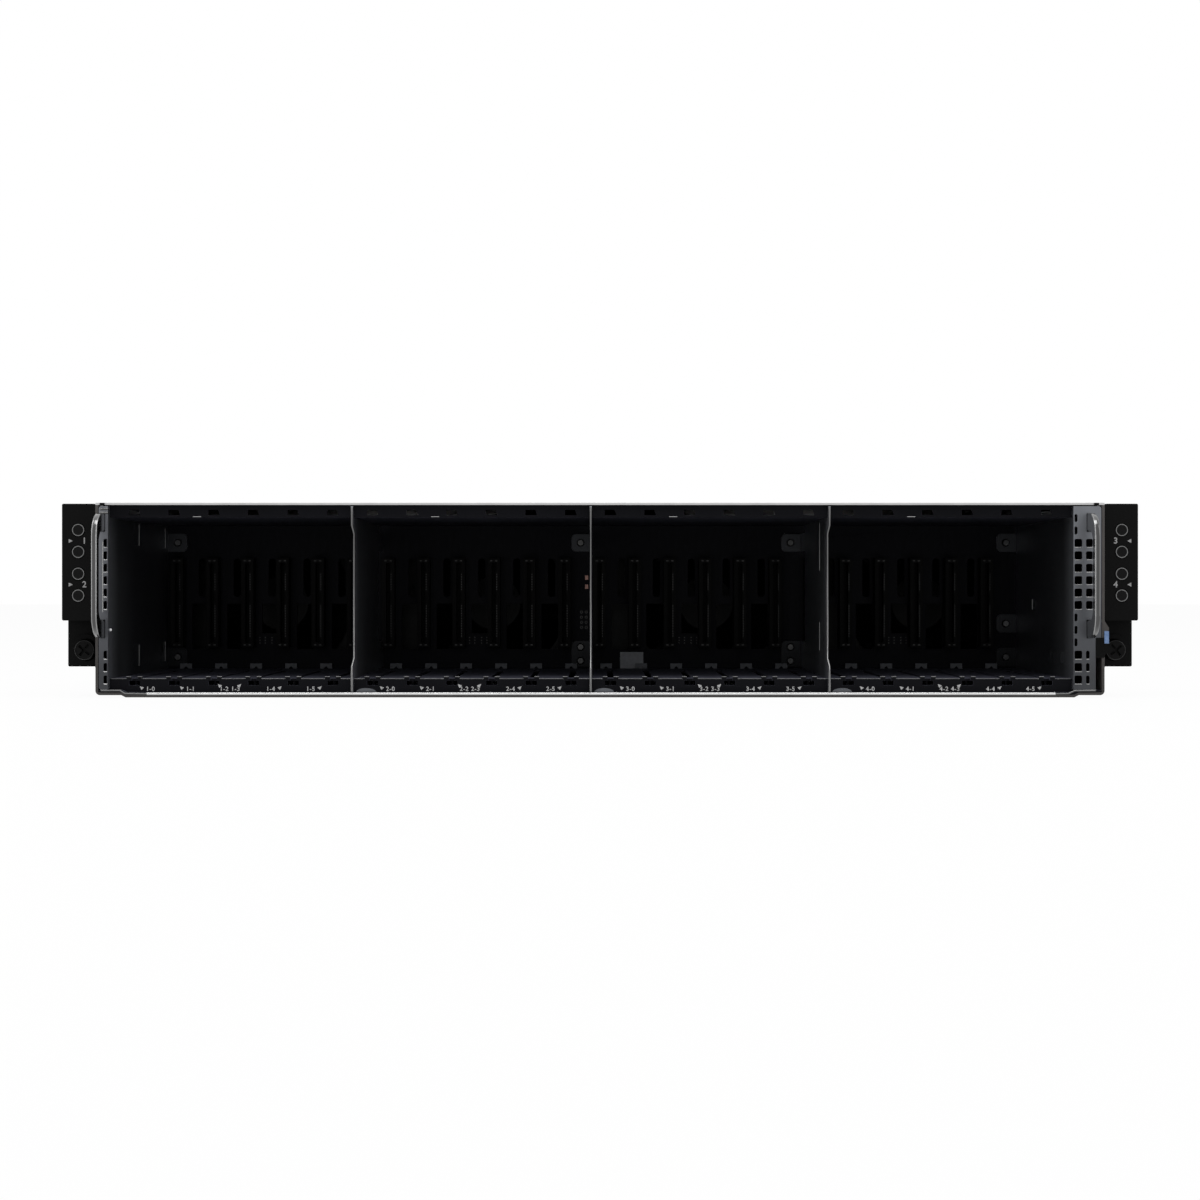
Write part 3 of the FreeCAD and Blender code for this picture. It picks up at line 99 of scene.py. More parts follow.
# Drive bays and their connectors
GROUPS = 4
BAYS_IN_GROUP = 6
CONNECTOR_WIDTH = 6.2 * MM
CONNECTOR_OFFSET = 5.0 * MM
CAGE_SHEET = 1.0 * MM
BAY_FLOOR_Z = 8.2 * MM
LIP_SETBACK = 3.0 * MM

# Printed marks
PRINT_LIFT = 0.05 * MM
CAPITAL_SHARE = 0.7
LETTER_SPACE = 1.12
LETTER_WEIGHT = 0.03
LABEL_HEIGHT = 1.9 * MM
LABEL_Z = 3.6 * MM
LABEL_SPREAD = 1.008
MARK_SIZE = 1.9 * MM
MARK_OUTLINE = ((1.0, 0.9), (-1.0, 0.3), (0.25, -0.9))
MARK_Z = 4.0 * MM
RAISED_MARK_Z = 4.95 * MM
NUMERAL_HEIGHT = 2.7 * MM
NUMERAL_MARK_SIZE = 1.8 * MM
NUMERAL_OFFSET = 2.6 * MM
RING_OUTER = 2.72 * MM
RING_STROKE = 0.38 * MM

# Label of each bay in a group: text offset, mark offset, mark height and lean
LEFT_LABEL = (8.8 * MM, 5.0 * MM, MARK_Z, -1)
LEFT_RAISED = (6.0 * MM, 4.1 * MM, RAISED_MARK_Z, -1)
RIGHT_RAISED = (-6.8 * MM, -5.2 * MM, RAISED_MARK_Z, 1)
RIGHT_LABEL = (-9.0 * MM, -5.0 * MM, MARK_Z, 1)
BAY_LABELS = (LEFT_LABEL, LEFT_LABEL, LEFT_RAISED, RIGHT_RAISED, RIGHT_LABEL, RIGHT_LABEL)

# Ears: side, sign along X, and each node number with the two buttons it stands between
BUTTONS = 8
EARS = (
    ("left", -1, (("1", 1, 2), ("2", 3, 4))),
    ("right", 1, (("3", 5, 6), ("4", 7, 8))),
)

# Foot of the cage: nose, edges of its raised ends in mm, and half-round reliefs
NOSE_ENDS = (-202 * MM, 203 * MM)
NOSE_Z = 1.62 * MM
NOSE_RADIUS = 0.65 * MM
NOSE_SINK = NOSE_RADIUS / 4
LEFT_STEP_LINE = ((-222.5, 3.1), (-214.0, 3.1), (-211.8, 1.7), (-202.0, 1.6))
RIGHT_STEP_LINE = ((203.0, 1.6), (209.0, 1.7), (211.5, 3.0), (221.0, 3.1))
STEP_EDGE_RADIUS = 0.4 * MM
MOON_SHIFT = 5.5 * MM
MOON_HALF = 4.4 * MM
MOON_RISE = 1.7 * MM
MOON_Z = 2.3 * MM

# Lower lip with its tabs, and the lanced edges under the upper lip
LIP_TOP_Z = 8.2 * MM
LIP_TAB_Z = 9.1 * MM
LIP_TAB_NEAR = 1.45 * MM
LIP_TAB_FAR = 3.55 * MM
LIP_END_GAP = 1.5 * MM
LIP_EDGE_RADIUS = 0.14 * MM
TAB_EDGE_RADIUS = 1.4 * LIP_EDGE_RADIUS
GLINT_SHIFT = 28.0 * MM
GLINT_HALF = 1.8 * MM
GLINT_Z = 80.7 * MM

# Front edges of the dividers
DIVIDER_HALF = 0.5 * MM
DIVIDER_EDGE_RADIUS = 1.05 * DIVIDER_HALF
DIVIDER_RECESS = 7.5 * MM
RECESS_LOW = 17.0 * MM
RECESS_HIGH = 73.5 * MM
RECESS_RAMP = 3.5 * MM

# Backplane: contacts, pads, blank film, small parts and plated holes
PIN_ROWS = ((24.5 * MM, 41.5 * MM), (48.0 * MM, 57.5 * MM))
PIN_PITCH = 1.27 * MM
PIN_SIZE = 0.55 * MM
PIN_OFFSET = 1.2 * MM
PAD_BAY = 2
PAD_SHIFT = 4.4 * MM
PAD_COLUMNS = (-4.4 * MM, -1.7 * MM, 1.7 * MM, 4.4 * MM)
PAD_ROWS = 3
PAD_PITCH = 1.4 * MM
PAD_Z = 20.8 * MM
FILM_X = (10.2 * MM, 22.0 * MM)
FILM_Z = (7.2 * MM, 16.5 * MM)
PART_X = (-7.6 * MM, -6.0 * MM)
PART_Z = (49.7 * MM, 54.3 * MM)
PART_HALF = 1.1 * MM
PART_RISE = 1.0 * MM
PLATED_X = (-9.4 * MM, -7.0 * MM)
PLATED_Z = 29.0 * MM
PLATED_ROWS = 4
PLATED_PITCH = 2.6 * MM
PLATED_OUTER = 0.75 * MM
PLATED_INNER = 0.4 * MM

# Upright tabs at the rear of the bay floor
REAR_TAB_OFFSET = -1.6 * MM
REAR_TAB_ARCH_Z = 9.4 * MM
REAR_TAB_TOP_Z = 10.8 * MM
REAR_TAB_FOOT = 1.2 * MM
REAR_TAB_HALF = 3.0 * MM

# Hooks pressed out of the cage walls and the dividers
HOOK_RISE = 0.8 * MM
HOOK_EDGE_RADIUS = 0.2 * MM
LEFT_HOOK_Y = (54 * MM, 108 * MM)
LEFT_HOOK_Z = (17 * MM, 74 * MM)
LEFT_HOOK_HEIGHT = 10 * MM
RIGHT_HOOK_Y = 77 * MM
RIGHT_HOOK_Z = (38.5 * MM, 43.5 * MM)
DIVIDER_HOOK_Y = 34 * MM
DIVIDER_HOOK_Z = ((20 * MM, 33 * MM), (57 * MM, 79 * MM))

# Flanges: start, width and rows of each column of holes, the crease and the rolled fold
HOLE_TOP_Z = 79.96 * MM
HOLE_PITCH = 5.54 * MM
HOLE_HALF = 1.8 * MM
HOLE_MARGIN = 0.2 * MM
HOLE_EDGE_RADIUS = 0.22 * MM
UPPER_ROWS = (2, 3, 4, 5, 6, 7)
LOWER_ROWS = (11, 12, 13)
LEFT_HOLES = ((-2.0 * MM, 1.9 * MM, UPPER_ROWS + LOWER_ROWS),)
RIGHT_HOLES = (
    (0.4 * MM, 3.5 * MM, UPPER_ROWS + LOWER_ROWS),
    (5.6 * MM, 3.0 * MM, UPPER_ROWS),
    (5.6 * MM, 1.6 * MM, LOWER_ROWS),
)
FLANGE_HOLES = (LEFT_HOLES, RIGHT_HOLES)
CREASE_X = -221.7 * MM
CREASE_Z = (38.0 * MM, 69.5 * MM)
FOLD_X = (0.6 * MM, 4.2 * MM)
FOLD_DROPS = (1.3 * MM, 3.0 * MM)
FOLD_RADIUS = 0.6 * MM

# Pin on the left cage wall: depth behind the front edge, height and radius
WALL_PIN_DEPTH = 4.5 * MM
WALL_PIN_Z = 30.0 * MM
WALL_PIN_RADIUS = 0.9 * MM

# Pull handles, with the number of rolled edges that show on each, and captive screws
HANDLE_CORNER = 10.0 * MM
RIM_RADIUS = 0.35 * MM
RIMS = {"left": 2, "right": 1}
KNOB_RIM_INSET = 0.3 * MM
KNOB_RIM_RADIUS = 0.16 * MM

# Stops at the front corners of the lid
NUB_X = (-221.9 * MM, 221.3 * MM)
NUB_HALF = 1.0 * MM
NUB_FRONT = 0.8 * MM
NUB_BACK = 0.2 * MM
NUB_DROP = 1.2 * MM
NUB_GAP = 0.05 * MM

# Blank tag beside the right ear, the outlines of its arm and of the two faces of its holder in mm
TAG_ARM = (
    (221.1, 26.6), (224.5, 26.6), (224.5, 23.9), (226.6, 23.9), (226.6, 21.4), (224.5, 17.6), (221.1, 17.6),
)
TAG_ARM_RISE = 0.4 * MM
TAG_HOLDER = (
    ((223.4, 34.5), (224.7, 34.5), (226.9, 31.0), (224.6, 31.2)),
    ((226.9, 31.0), (226.9, 29.6), (224.6, 29.6), (224.6, 31.2)),
)
TAG_X = (224.6 * MM, 226.9 * MM)
TAG_Z = (24.0 * MM, 29.5 * MM)
TAG_DEPTH = 5.1 * MM

# Rivets of the pan's sides
RIVETS_IN_ROW = 6
RIVET_PITCH = 116 * MM
RIVET_MARGIN = 20 * MM
RIVET_Z = (14 * MM, 72 * MM)
RIVET_RADIUS = 2.4 * MM
RIVET_RISE = 0.3 * MM


def new_material(name):
    """Node material with its shader and output, and nothing else."""
    material = bpy.data.materials.new(name)
    material.use_nodes = True
    nodes = material.node_tree.nodes
    nodes.clear()
    output = nodes.new("ShaderNodeOutputMaterial")
    shader = nodes.new("ShaderNodeBsdfPrincipled")
    material.node_tree.links.new(shader.outputs["BSDF"], output.inputs["Surface"])
    return material, shader


def grain_noise(material, scale, stretch):
    """Noise in the object's own space, drawn out along its grain."""
    nodes = material.node_tree.nodes
    links = material.node_tree.links
    space = nodes.new("ShaderNodeTexCoord")
    mapping = nodes.new("ShaderNodeMapping")
    mapping.inputs["Scale"].default_value = stretch
    noise = nodes.new("ShaderNodeTexNoise")
    noise.inputs["Scale"].default_value = scale
    noise.inputs["Detail"].default_value = GRAIN_DETAIL
    links.new(space.outputs["Object"], mapping.inputs["Vector"])
    links.new(mapping.outputs["Vector"], noise.inputs["Vector"])
    return noise


def ranged(material, vector, axis, span, levels):
    """One part of a vector, mapped from a span to levels."""
    nodes = material.node_tree.nodes
    links = material.node_tree.links
    parts = nodes.new("ShaderNodeSeparateXYZ")
    level = nodes.new("ShaderNodeMapRange")
    level.inputs["From Min"].default_value = span[0]
    level.inputs["From Max"].default_value = span[1]
    level.inputs["To Min"].default_value = levels[0]
    level.inputs["To Max"].default_value = levels[1]
    links.new(vector, parts.inputs["Vector"])
    links.new(parts.outputs[axis], level.inputs["Value"])
    return level.outputs["Result"]


def combined(material, operation, *values):
    """Result of one arithmetic step on two or three values."""
    step = material.node_tree.nodes.new("ShaderNodeMath")
    step.operation = operation
    for socket, value in zip(step.inputs, values):
        material.node_tree.links.new(value, socket)
    return step.outputs["Value"]


def shaded(material, colour, sides, fronts):
    """Colour with painted light and shade: toned with depth on the sides, and with depth and height on what
    faces the front.
    """
    nodes = material.node_tree.nodes
    place = nodes.new("ShaderNodeTexCoord").outputs["Object"]
    normal = nodes.new("ShaderNodeNewGeometry").outputs["Normal"]
    facing = ranged(material, normal, "Y", FRONT_FACING, (0.0, 1.0))
    near = ranged(material, place, "Y", NEAR_SPAN, (1.0, sides[0]))
    far = ranged(material, place, "Y", DEPTH_SPAN, (1.0, sides[1]))
    side = combined(material, "MULTIPLY", near, far)
    height = ranged(material, place, "Z", HEIGHT_SPAN, fronts[:2])
    depth = ranged(material, place, "Y", DEPTH_SPAN, (1.0, fronts[2]))
    front = combined(material, "MULTIPLY", height, depth)
    change = combined(material, "SUBTRACT", front, side)
    tone = nodes.new("ShaderNodeHueSaturation")
    links = material.node_tree.links
    links.new(combined(material, "MULTIPLY_ADD", facing, change, side), tone.inputs["Value"])
    links.new(colour, tone.inputs["Color"])
    return tone.outputs["Color"]


def surface(name, dark, light, rough, metallic=0.0, scale=400.0, stretch=(1, 1, 1),
            bump=0.02, shine=0.5, sides=(1.0, 1.0), fronts=None):
    """Surface whose colour, roughness and relief vary with one grain.

    Front levels, at the foot, at the top and in the depth, paint light and shade on what faces the front.
    The side levels paint light and shade on the rest, a little way in and in the depth.
    """
    material, shader = new_material(name)
    nodes = material.node_tree.nodes
    links = material.node_tree.links
    noise = grain_noise(material, scale, stretch)
    ramp = nodes.new("ShaderNodeValToRGB")
    for element, position, level in zip(ramp.color_ramp.elements, RAMP_ENDS, (dark, light)):
        element.position = position
        element.color = (*level, 1)
    links.new(noise.outputs["Fac"], ramp.inputs["Fac"])
    colour = ramp.outputs["Color"]
    # Painted light and shade toned into the grain's colour
    if fronts:
        colour = shaded(material, colour, sides, fronts)
    links.new(colour, shader.inputs["Base Color"])
    spread = nodes.new("ShaderNodeMapRange")
    spread.inputs["To Min"].default_value = rough[0]
    spread.inputs["To Max"].default_value = rough[1]
    links.new(noise.outputs["Fac"], spread.inputs["Value"])
    links.new(spread.outputs["Result"], shader.inputs["Roughness"])
    relief = nodes.new("ShaderNodeBump")
    relief.inputs["Strength"].default_value = bump
    relief.inputs["Distance"].default_value = RELIEF_DEPTH
    links.new(noise.outputs["Fac"], relief.inputs["Height"])
    links.new(relief.outputs["Normal"], shader.inputs["Normal"])
    shader.inputs["Metallic"].default_value = metallic
    shader.inputs["Specular IOR Level"].default_value = shine
    return material


def grey(level, tint=(1.0, 1.0, 1.0)):
    """Neutral colour of one level with a slight tint."""
    return tuple(level * part for part in tint)


# Tints, and the ways in which a grain is drawn out
COOL = (0.95, 0.99, 1.08)
WARM = (1.06, 1.0, 0.97)
NAVY = (0.93, 0.95, 1.25)
FINE = (1, 1, 1)
UPRIGHT = (1, 1, 0.2)
LENGTHWISE = (1, 0.2, 1)
CROSSWISE = (0.2, 1, 1)

# Paints: name, dark and light colour, roughness, then metal, scale, grain, relief and shine, and for some
# the side and front levels of painted light and shade
PAINTS = {
    "zinc": surface("zinc_plate", grey(0.42, COOL), grey(0.50, COOL), (0.28, 0.40), 0.4, 90,
                    UPRIGHT, 0.03),
    # Cage plate with painted light and shade: its sides darken a little way in and lighten again in the
    # depth, and its faces that look to the front are darker at the foot than at the top and darkest in the
    # depth
    "cage": surface("cage_plate", grey(0.28, COOL), grey(0.33, COOL), (0.32, 0.44), 0.9, 90,
                    UPRIGHT, 0.03, sides=(0.32, 2.4), fronts=(0.18, 0.60, 0.16)),
    # Handle metal with a painted highlight: faces that look to the front are painted darker, so the bends
    # that look up stay lighter
    "bright": surface("bright_plate", grey(0.24), grey(0.29), (0.12, 0.20), 1.0, 60,
                      (1, 1, 0.1), 0.02, fronts=(0.3, 0.3, 1.0)),
    "edge": surface("plain_edge", grey(0.13), grey(0.17), (0.24, 0.34), 1.0, 60, FINE, 0.01),
    "nose": surface("bright_edge", grey(0.50), grey(0.57), (0.20, 0.30), 1.0, 60, FINE, 0.01),
    "dim": surface("shaded_zinc", grey(0.14, COOL), grey(0.18, COOL), (0.45, 0.60), 0.0, 300,
                   FINE, 0.03, 0.2),
    # Pan steel with painted shade: its faces that look to the front are painted darker, most at the foot
    "pan": surface("pan_steel", grey(0.26, WARM), grey(0.30, WARM), (0.38, 0.50), 0.9, 160,
                   LENGTHWISE, 0.03, fronts=(0.18, 0.26, 1.0)),
    # Lid steel with a painted highlight: its faces that look to the front are painted lighter
    "lid": surface("lid_steel", grey(0.27), grey(0.30), (0.36, 0.48), 0.9, 160,
                   LENGTHWISE, 0.03, fronts=(1.8, 1.8, 1.0)),
    "rim": surface("rolled_rim", grey(0.26), grey(0.33), (0.20, 0.30), 1.0, 60, FINE, 0.01),
    "roof": surface("shaded_roof", grey(0.015, NAVY), grey(0.022, NAVY), (0.45, 0.60), 0.0, 120,
                    CROSSWISE, 0.03, 0.05, fronts=(0.3, 0.3, 1.0)),
    "black": surface("black_plastic", grey(0.003), grey(0.005), (0.50, 0.64), 0.0, 1800, FINE, 0.12, 0.05),
    "button": surface("button_plastic", grey(0.003), grey(0.005), (0.40, 0.52), 0.0, 1500, FINE, 0.08, 0.08),
    "screw": surface("black_oxide", grey(0.003), grey(0.005), (0.36, 0.48), 0.0, 700, FINE, 0.05, 0.06),
    "board": surface("board_mask", grey(0.005, NAVY), grey(0.008, NAVY), (0.45, 0.60), 0.0, 500,
                     (1, 1, 0.3), 0.05, 0.05),
    "connector": surface("connector_plastic", grey(0.006), grey(0.009), (0.50, 0.65), 0.0, 900,
                         FINE, 0.04, 0.04),
    "fan": surface("fan_plastic", grey(0.004), grey(0.008), (0.40, 0.55), 0.0, 500, FINE, 0.05, 0.2),
    "supply": surface("supply_plate", grey(0.32), grey(0.38), (0.30, 0.42), 0.9, 80, (1, 0.1, 1), 0.03),
    "latch": surface("latch_plastic", (0.45, 0.09, 0.02), (0.55, 0.13, 0.03), (0.4, 0.5), 0.0, 600),
    "blue": surface("blue_plastic", (0.03, 0.09, 0.28), (0.05, 0.13, 0.36), (0.4, 0.5), 0.0, 600),
    "print": surface("white_print", grey(0.42), grey(0.52), (0.5, 0.65), 0.0, 1500),
    "mark": surface("grey_print", grey(0.12), grey(0.16), (0.45, 0.6), 0.0, 1500),
    "numeral": surface("pale_print", grey(0.24), grey(0.30), (0.45, 0.6), 0.0, 1500),
    "contact": surface("contact_metal", grey(0.02), grey(0.04), (0.3, 0.45), 0.8, 900),
    "deck": surface("shaded_deck", grey(0.040, NAVY), grey(0.055, NAVY), (0.45, 0.60), 0.0, 120,
                    CROSSWISE, 0.03, 0.05, fronts=(0.11, 0.11, 1.0)),
    "stud": surface("shaded_screw", grey(0.05), grey(0.08), (0.25, 0.40), 0.9, 600, FINE, 0.03),
    # Lighter metal for the captive screws' rims, a painted highlight
    "rim_highlight": surface("painted_rim_highlight", grey(0.020), grey(0.030), (0.25, 0.35), 0.9, 600, FINE, 0.02),
    "copper": surface("copper_part", (0.30, 0.16, 0.13), (0.40, 0.22, 0.18), (0.35, 0.5), 0.3, 900),
    "pale": surface("pale_film", grey(0.22, COOL), grey(0.28, COOL), (0.4, 0.55), 0.0, 700),
    "sky": surface("blue_film", (0.10, 0.18, 0.36), (0.16, 0.25, 0.44), (0.35, 0.5), 0.0, 900),
}

# Paint of the frame nodes by a part of their name, where the first match counts
PAINT_RULES = (
    ("handle", "bright"), ("panel_screws", "stud"), ("button", "button"), ("control_panel", "black"),
    ("control_board", "board"), ("_ear", "black"), ("thumbscrew", "screw"), ("midplane", "board"),
    ("backplane", "board"), ("power_board", "board"), ("connectors", "connector"),
    ("inlet", "connector"), ("latch", "latch"), ("psu_1_fan", "fan"), ("psu_2_fan", "fan"),
    ("fan_frame", "fan"), ("fan_rotor", "fan"), ("fan_partition", "fan"), ("_case", "supply"),
    ("cover_lock", "blue"), ("base_pan", "pan"), ("top_cover", "lid"), ("cage_floor", "deck"),
    ("cage_ceiling", "roof"), ("divider", "cage"), ("cage_", "cage"),
)


def paint_for(node):
    """Paint of a frame node by its name."""
    if node.startswith("psu") and node.endswith("handle"):
        return "connector"
    for part, paint in PAINT_RULES:
        if part in node:
            return paint
    return "zinc"


def paint_nodes():
    """Give every frame node its paint and a fine bevel where sheet edges catch light."""
    for name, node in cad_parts.items():
        paint = PAINTS[paint_for(name)]
        node.data.materials.clear()
        node.data.materials.append(paint)
        weld = node.modifiers.new("weld", "WELD")
        weld.merge_threshold = WELD_GAP
        bevel = node.modifiers.new("edge", "BEVEL")
        bevel.width = EDGE_WIDTHS.get(paint_for(name), FINE_EDGE)
        bevel.segments = EDGE_SEGMENTS
        bevel.limit_method = "ANGLE"
        bevel.angle_limit = EDGE_ANGLE


def add_piece(name, mesh_builder, paint, body):
    """New mesh object that rides a body and takes one of the paints."""
    mesh = bpy.data.meshes.new(name)
    work = bmesh.new()
    mesh_builder(work)
    work.to_mesh(mesh)
    work.free()
    mesh.materials.append(PAINTS[paint])
    piece = bpy.data.objects.new(name, mesh)
    bpy.context.scene.collection.objects.link(piece)
    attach(piece, body)


def box_into(work, low, high):
    """Add a box between two corners."""
    size = [high[axis] - low[axis] for axis in range(3)]
    middle = [(high[axis] + low[axis]) / 2 for axis in range(3)]
    matrix = Matrix.Translation(middle) @ Matrix.Diagonal((*size, 1))
    bmesh.ops.create_cube(work, size=1, matrix=matrix)


def flat_into(work, points, y):
    """Add a flat face that looks to the front, from (x, z) points."""
    corners = [work.verts.new((x, y, z)) for x, z in points]
    face = work.faces.new(corners)
    face.normal_update()
    if face.normal.y > 0:
        face.normal_flip()


def ring_into(work, x, y, z, outer, inner, steps=RING_STEPS):
    """Add a flat ring that looks to the front."""
    for index in range(steps):
        start, end = (2 * math.pi * (index + part) / steps for part in (0, 1))
        corners = ((outer, start), (outer, end), (inner, end), (inner, start))
        points = [(x + radius * math.cos(angle), z + radius * math.sin(angle)) for radius, angle in corners]
        flat_into(work, points, y)


def text_into(work, words, height, x, y, z):
    """Add upright lettering centred on a point, looking to the front."""
    curve = bpy.data.curves.new("lettering", "FONT")
    curve.body = words
    curve.align_x = "CENTER"
    curve.align_y = "CENTER"
    curve.size = height / CAPITAL_SHARE
    curve.space_character = LETTER_SPACE
    curve.offset = height * LETTER_WEIGHT
    holder = bpy.data.objects.new("lettering", curve)
    bpy.context.scene.collection.objects.link(holder)
    letters = holder.to_mesh()
    letters.transform(Matrix.Translation((x, y, z)) @ STANDING)
    work.from_mesh(letters)
    holder.to_mesh_clear()
    bpy.data.objects.remove(holder)
    bpy.data.curves.remove(curve)


def tube_into(work, points, radius):
    """Add a round bead along a line of points."""
    curve = bpy.data.curves.new("bead", "CURVE")
    curve.dimensions = "3D"
    curve.bevel_depth = radius
    curve.bevel_resolution = BEAD_STEPS
    curve.use_fill_caps = True
    spline = curve.splines.new("POLY")
    spline.points.add(len(points) - 1)
    for place, point in zip(spline.points, points):
        place.co = (*point, 1)
    holder = bpy.data.objects.new("bead", curve)
    bpy.context.scene.collection.objects.link(holder)
    work.from_mesh(holder.to_mesh())
    holder.to_mesh_clear()
    bpy.data.objects.remove(holder)
    bpy.data.curves.remove(curve)


def bay_middles():
    """Middle of each bay along X, read from the row of connectors."""
    low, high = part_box("drive_connectors")
    first = low[0] + CONNECTOR_WIDTH / 2 + CONNECTOR_OFFSET
    count = GROUPS * BAYS_IN_GROUP
    pitch = (high[0] - low[0] - CONNECTOR_WIDTH) / (count - 1)
    return [first + index * pitch for index in range(count)]


def add_bay_labels():
    """Bay numbers and pointers printed on the lower lip."""
    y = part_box("cage_floor")[0][1] + LIP_SETBACK - PRINT_LIFT
    middles = bay_middles()

    def build(work):
        for index, middle in enumerate(middles):
            x = middle * LABEL_SPREAD
            group, bay = divmod(index, BAYS_IN_GROUP)
            text_x, mark_x, mark_z, lean = BAY_LABELS[bay]
            text_into(work, "%d-%d" % (group + 1, bay), LABEL_HEIGHT, x + text_x, y, LABEL_Z)
            half = MARK_SIZE / 2
            points = [(x + mark_x + lean * across * half, mark_z + up * half) for across, up in MARK_OUTLINE]
            flat_into(work, points, y)
    add_piece("bay_labels", build, "print", "chassis")


def add_button_rings():
    """Grey ring printed on each button's face."""
    for number in range(1, BUTTONS + 1):
        name = "button_%d" % number
        low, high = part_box(name)
        x = (low[0] + high[0]) / 2
        z = (low[2] + high[2]) / 2
        y = low[1] - PRINT_LIFT

        def build(work):
            ring_into(work, x, y, z, RING_OUTER, RING_OUTER - RING_STROKE)
        add_piece(name + "_ring", build, "mark", name)


def button_height(number):
    """Height of a button's middle."""
    low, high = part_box("button_%d" % number)
    return (low[2] + high[2]) / 2


def add_node_numerals():
    """Node numbers with their pointers between the buttons on the ears."""
    for side, sign, numbers in EARS:
        low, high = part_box(side + "_control_panel")
        middle = (low[0] + high[0]) / 2
        y = low[1] - PRINT_LIFT

        def build(work):
            for words, upper, lower in numbers:
                z = (button_height(upper) + button_height(lower)) / 2
                text_into(work, words, NUMERAL_HEIGHT, middle - sign * NUMERAL_OFFSET, y, z)
                tip = middle + sign * NUMERAL_OFFSET
                half = NUMERAL_MARK_SIZE / 2
                base = tip + sign * NUMERAL_MARK_SIZE
                flat_into(work, [(base, z + half), (base, z - half), (tip, z)], y)
        add_piece(side + "_numerals", build, "numeral", "chassis")


def cage_front():
    """Plane of the cage's front edge along Y."""
    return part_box("cage_floor")[0][1]


def add_foot_nose():
    """Rounded bright nose along the cage's foot."""
    y = cage_front() + NOSE_SINK

    def build(work):
        tube_into(work, [(x, y, NOSE_Z) for x in NOSE_ENDS], NOSE_RADIUS)
    add_piece("foot_nose", build, "nose", "chassis")


def add_foot_steps():
    """Bright edges of the raised strips at both ends of the foot."""
    y = cage_front()

    def build(work):
        for line in (LEFT_STEP_LINE, RIGHT_STEP_LINE):
            tube_into(work, [(x * MM, y, z * MM) for x, z in line], STEP_EDGE_RADIUS)
    add_piece("foot_steps", build, "edge", "chassis")


def add_lip_edges():
    """Bright cut edges along the top of the lower lip and its tabs."""
    y = cage_front() + LIP_SETBACK
    middles = bay_middles()
    low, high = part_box("drive_backplane")

    def build(work):
        starts = [low[0] + LIP_END_GAP] + [x + LIP_TAB_FAR for x in middles]
        ends = [x - LIP_TAB_FAR for x in middles] + [high[0] - LIP_END_GAP]
        for start, end in zip(starts, ends):
            tube_into(work, [(start, y, LIP_TOP_Z), (end, y, LIP_TOP_Z)], LIP_EDGE_RADIUS)
        for x in middles:
            for side in (-1, 1):
                ends = (x + side * LIP_TAB_NEAR, x + side * LIP_TAB_FAR)
                tube_into(work, [(end, y, LIP_TAB_Z) for end in ends], TAB_EDGE_RADIUS)
    add_piece("lip_edges", build, "edge", "chassis")


def add_divider_edges():
    """Rounded bright front edge of each divider."""
    for number in range(1, GROUPS):
        name = "divider_%d" % number
        low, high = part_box(name)
        x = high[0] - DIVIDER_HALF
        front = low[1]
        deep = front + DIVIDER_RECESS
        line = ((front, low[2] + DIVIDER_HALF), (front, RECESS_LOW - RECESS_RAMP), (deep, RECESS_LOW),
                (deep, RECESS_HIGH), (front, RECESS_HIGH + RECESS_RAMP), (front, high[2] - DIVIDER_HALF))

        def build(work):
            tube_into(work, [(x, y, z) for y, z in line], DIVIDER_EDGE_RADIUS)
        add_piece(name + "_edge", build, "edge", "chassis")


def add_contacts():
    """Contact rows and end marks of the drive connectors."""
    low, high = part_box("drive_connectors")
    y = low[1]

    def build(work):
        for x in [bay - CONNECTOR_OFFSET for bay in bay_middles()]:
            for start, end in PIN_ROWS:
                count = int((end - start) / PIN_PITCH)
                for index in range(count):
                    z = start + index * PIN_PITCH
                    box_into(work, (x + PIN_OFFSET, y - PRINT_LIFT, z),
                             (x + PIN_OFFSET + PIN_SIZE, y, z + PIN_SIZE))
            for z in (low[2] + PIN_PITCH, high[2] - PIN_PITCH):
                for side in (-1, 1):
                    middle = x + side * PIN_PITCH
                    box_into(work, (middle - PIN_SIZE, y - PRINT_LIFT, z - PIN_SIZE / 2),
                             (middle + PIN_SIZE, y, z + PIN_SIZE / 2))
    add_piece("connector_contacts", build, "contact", "chassis")


def add_board_pads():
    """Solder pads under the short vent of each group and a blank film on the board."""
    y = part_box("drive_backplane")[0][1]
    middles = bay_middles()

    def pads(work):
        for group in range(GROUPS):
            middle = middles[group * BAYS_IN_GROUP + PAD_BAY] + PAD_SHIFT
            for column in PAD_COLUMNS:
                for row in range(PAD_ROWS):
                    x = middle + column
                    z = PAD_Z + row * PAD_PITCH
                    box_into(work, (x - PIN_SIZE / 2, y - PRINT_LIFT, z),
                             (x + PIN_SIZE / 2, y, z + PIN_SIZE))
    add_piece("board_pads", pads, "contact", "chassis")

    def film(work):
        box_into(work, (FILM_X[0], y - PRINT_LIFT, FILM_Z[0]), (FILM_X[1], y, FILM_Z[1]))
    add_piece("board_film", film, "pale", "chassis")


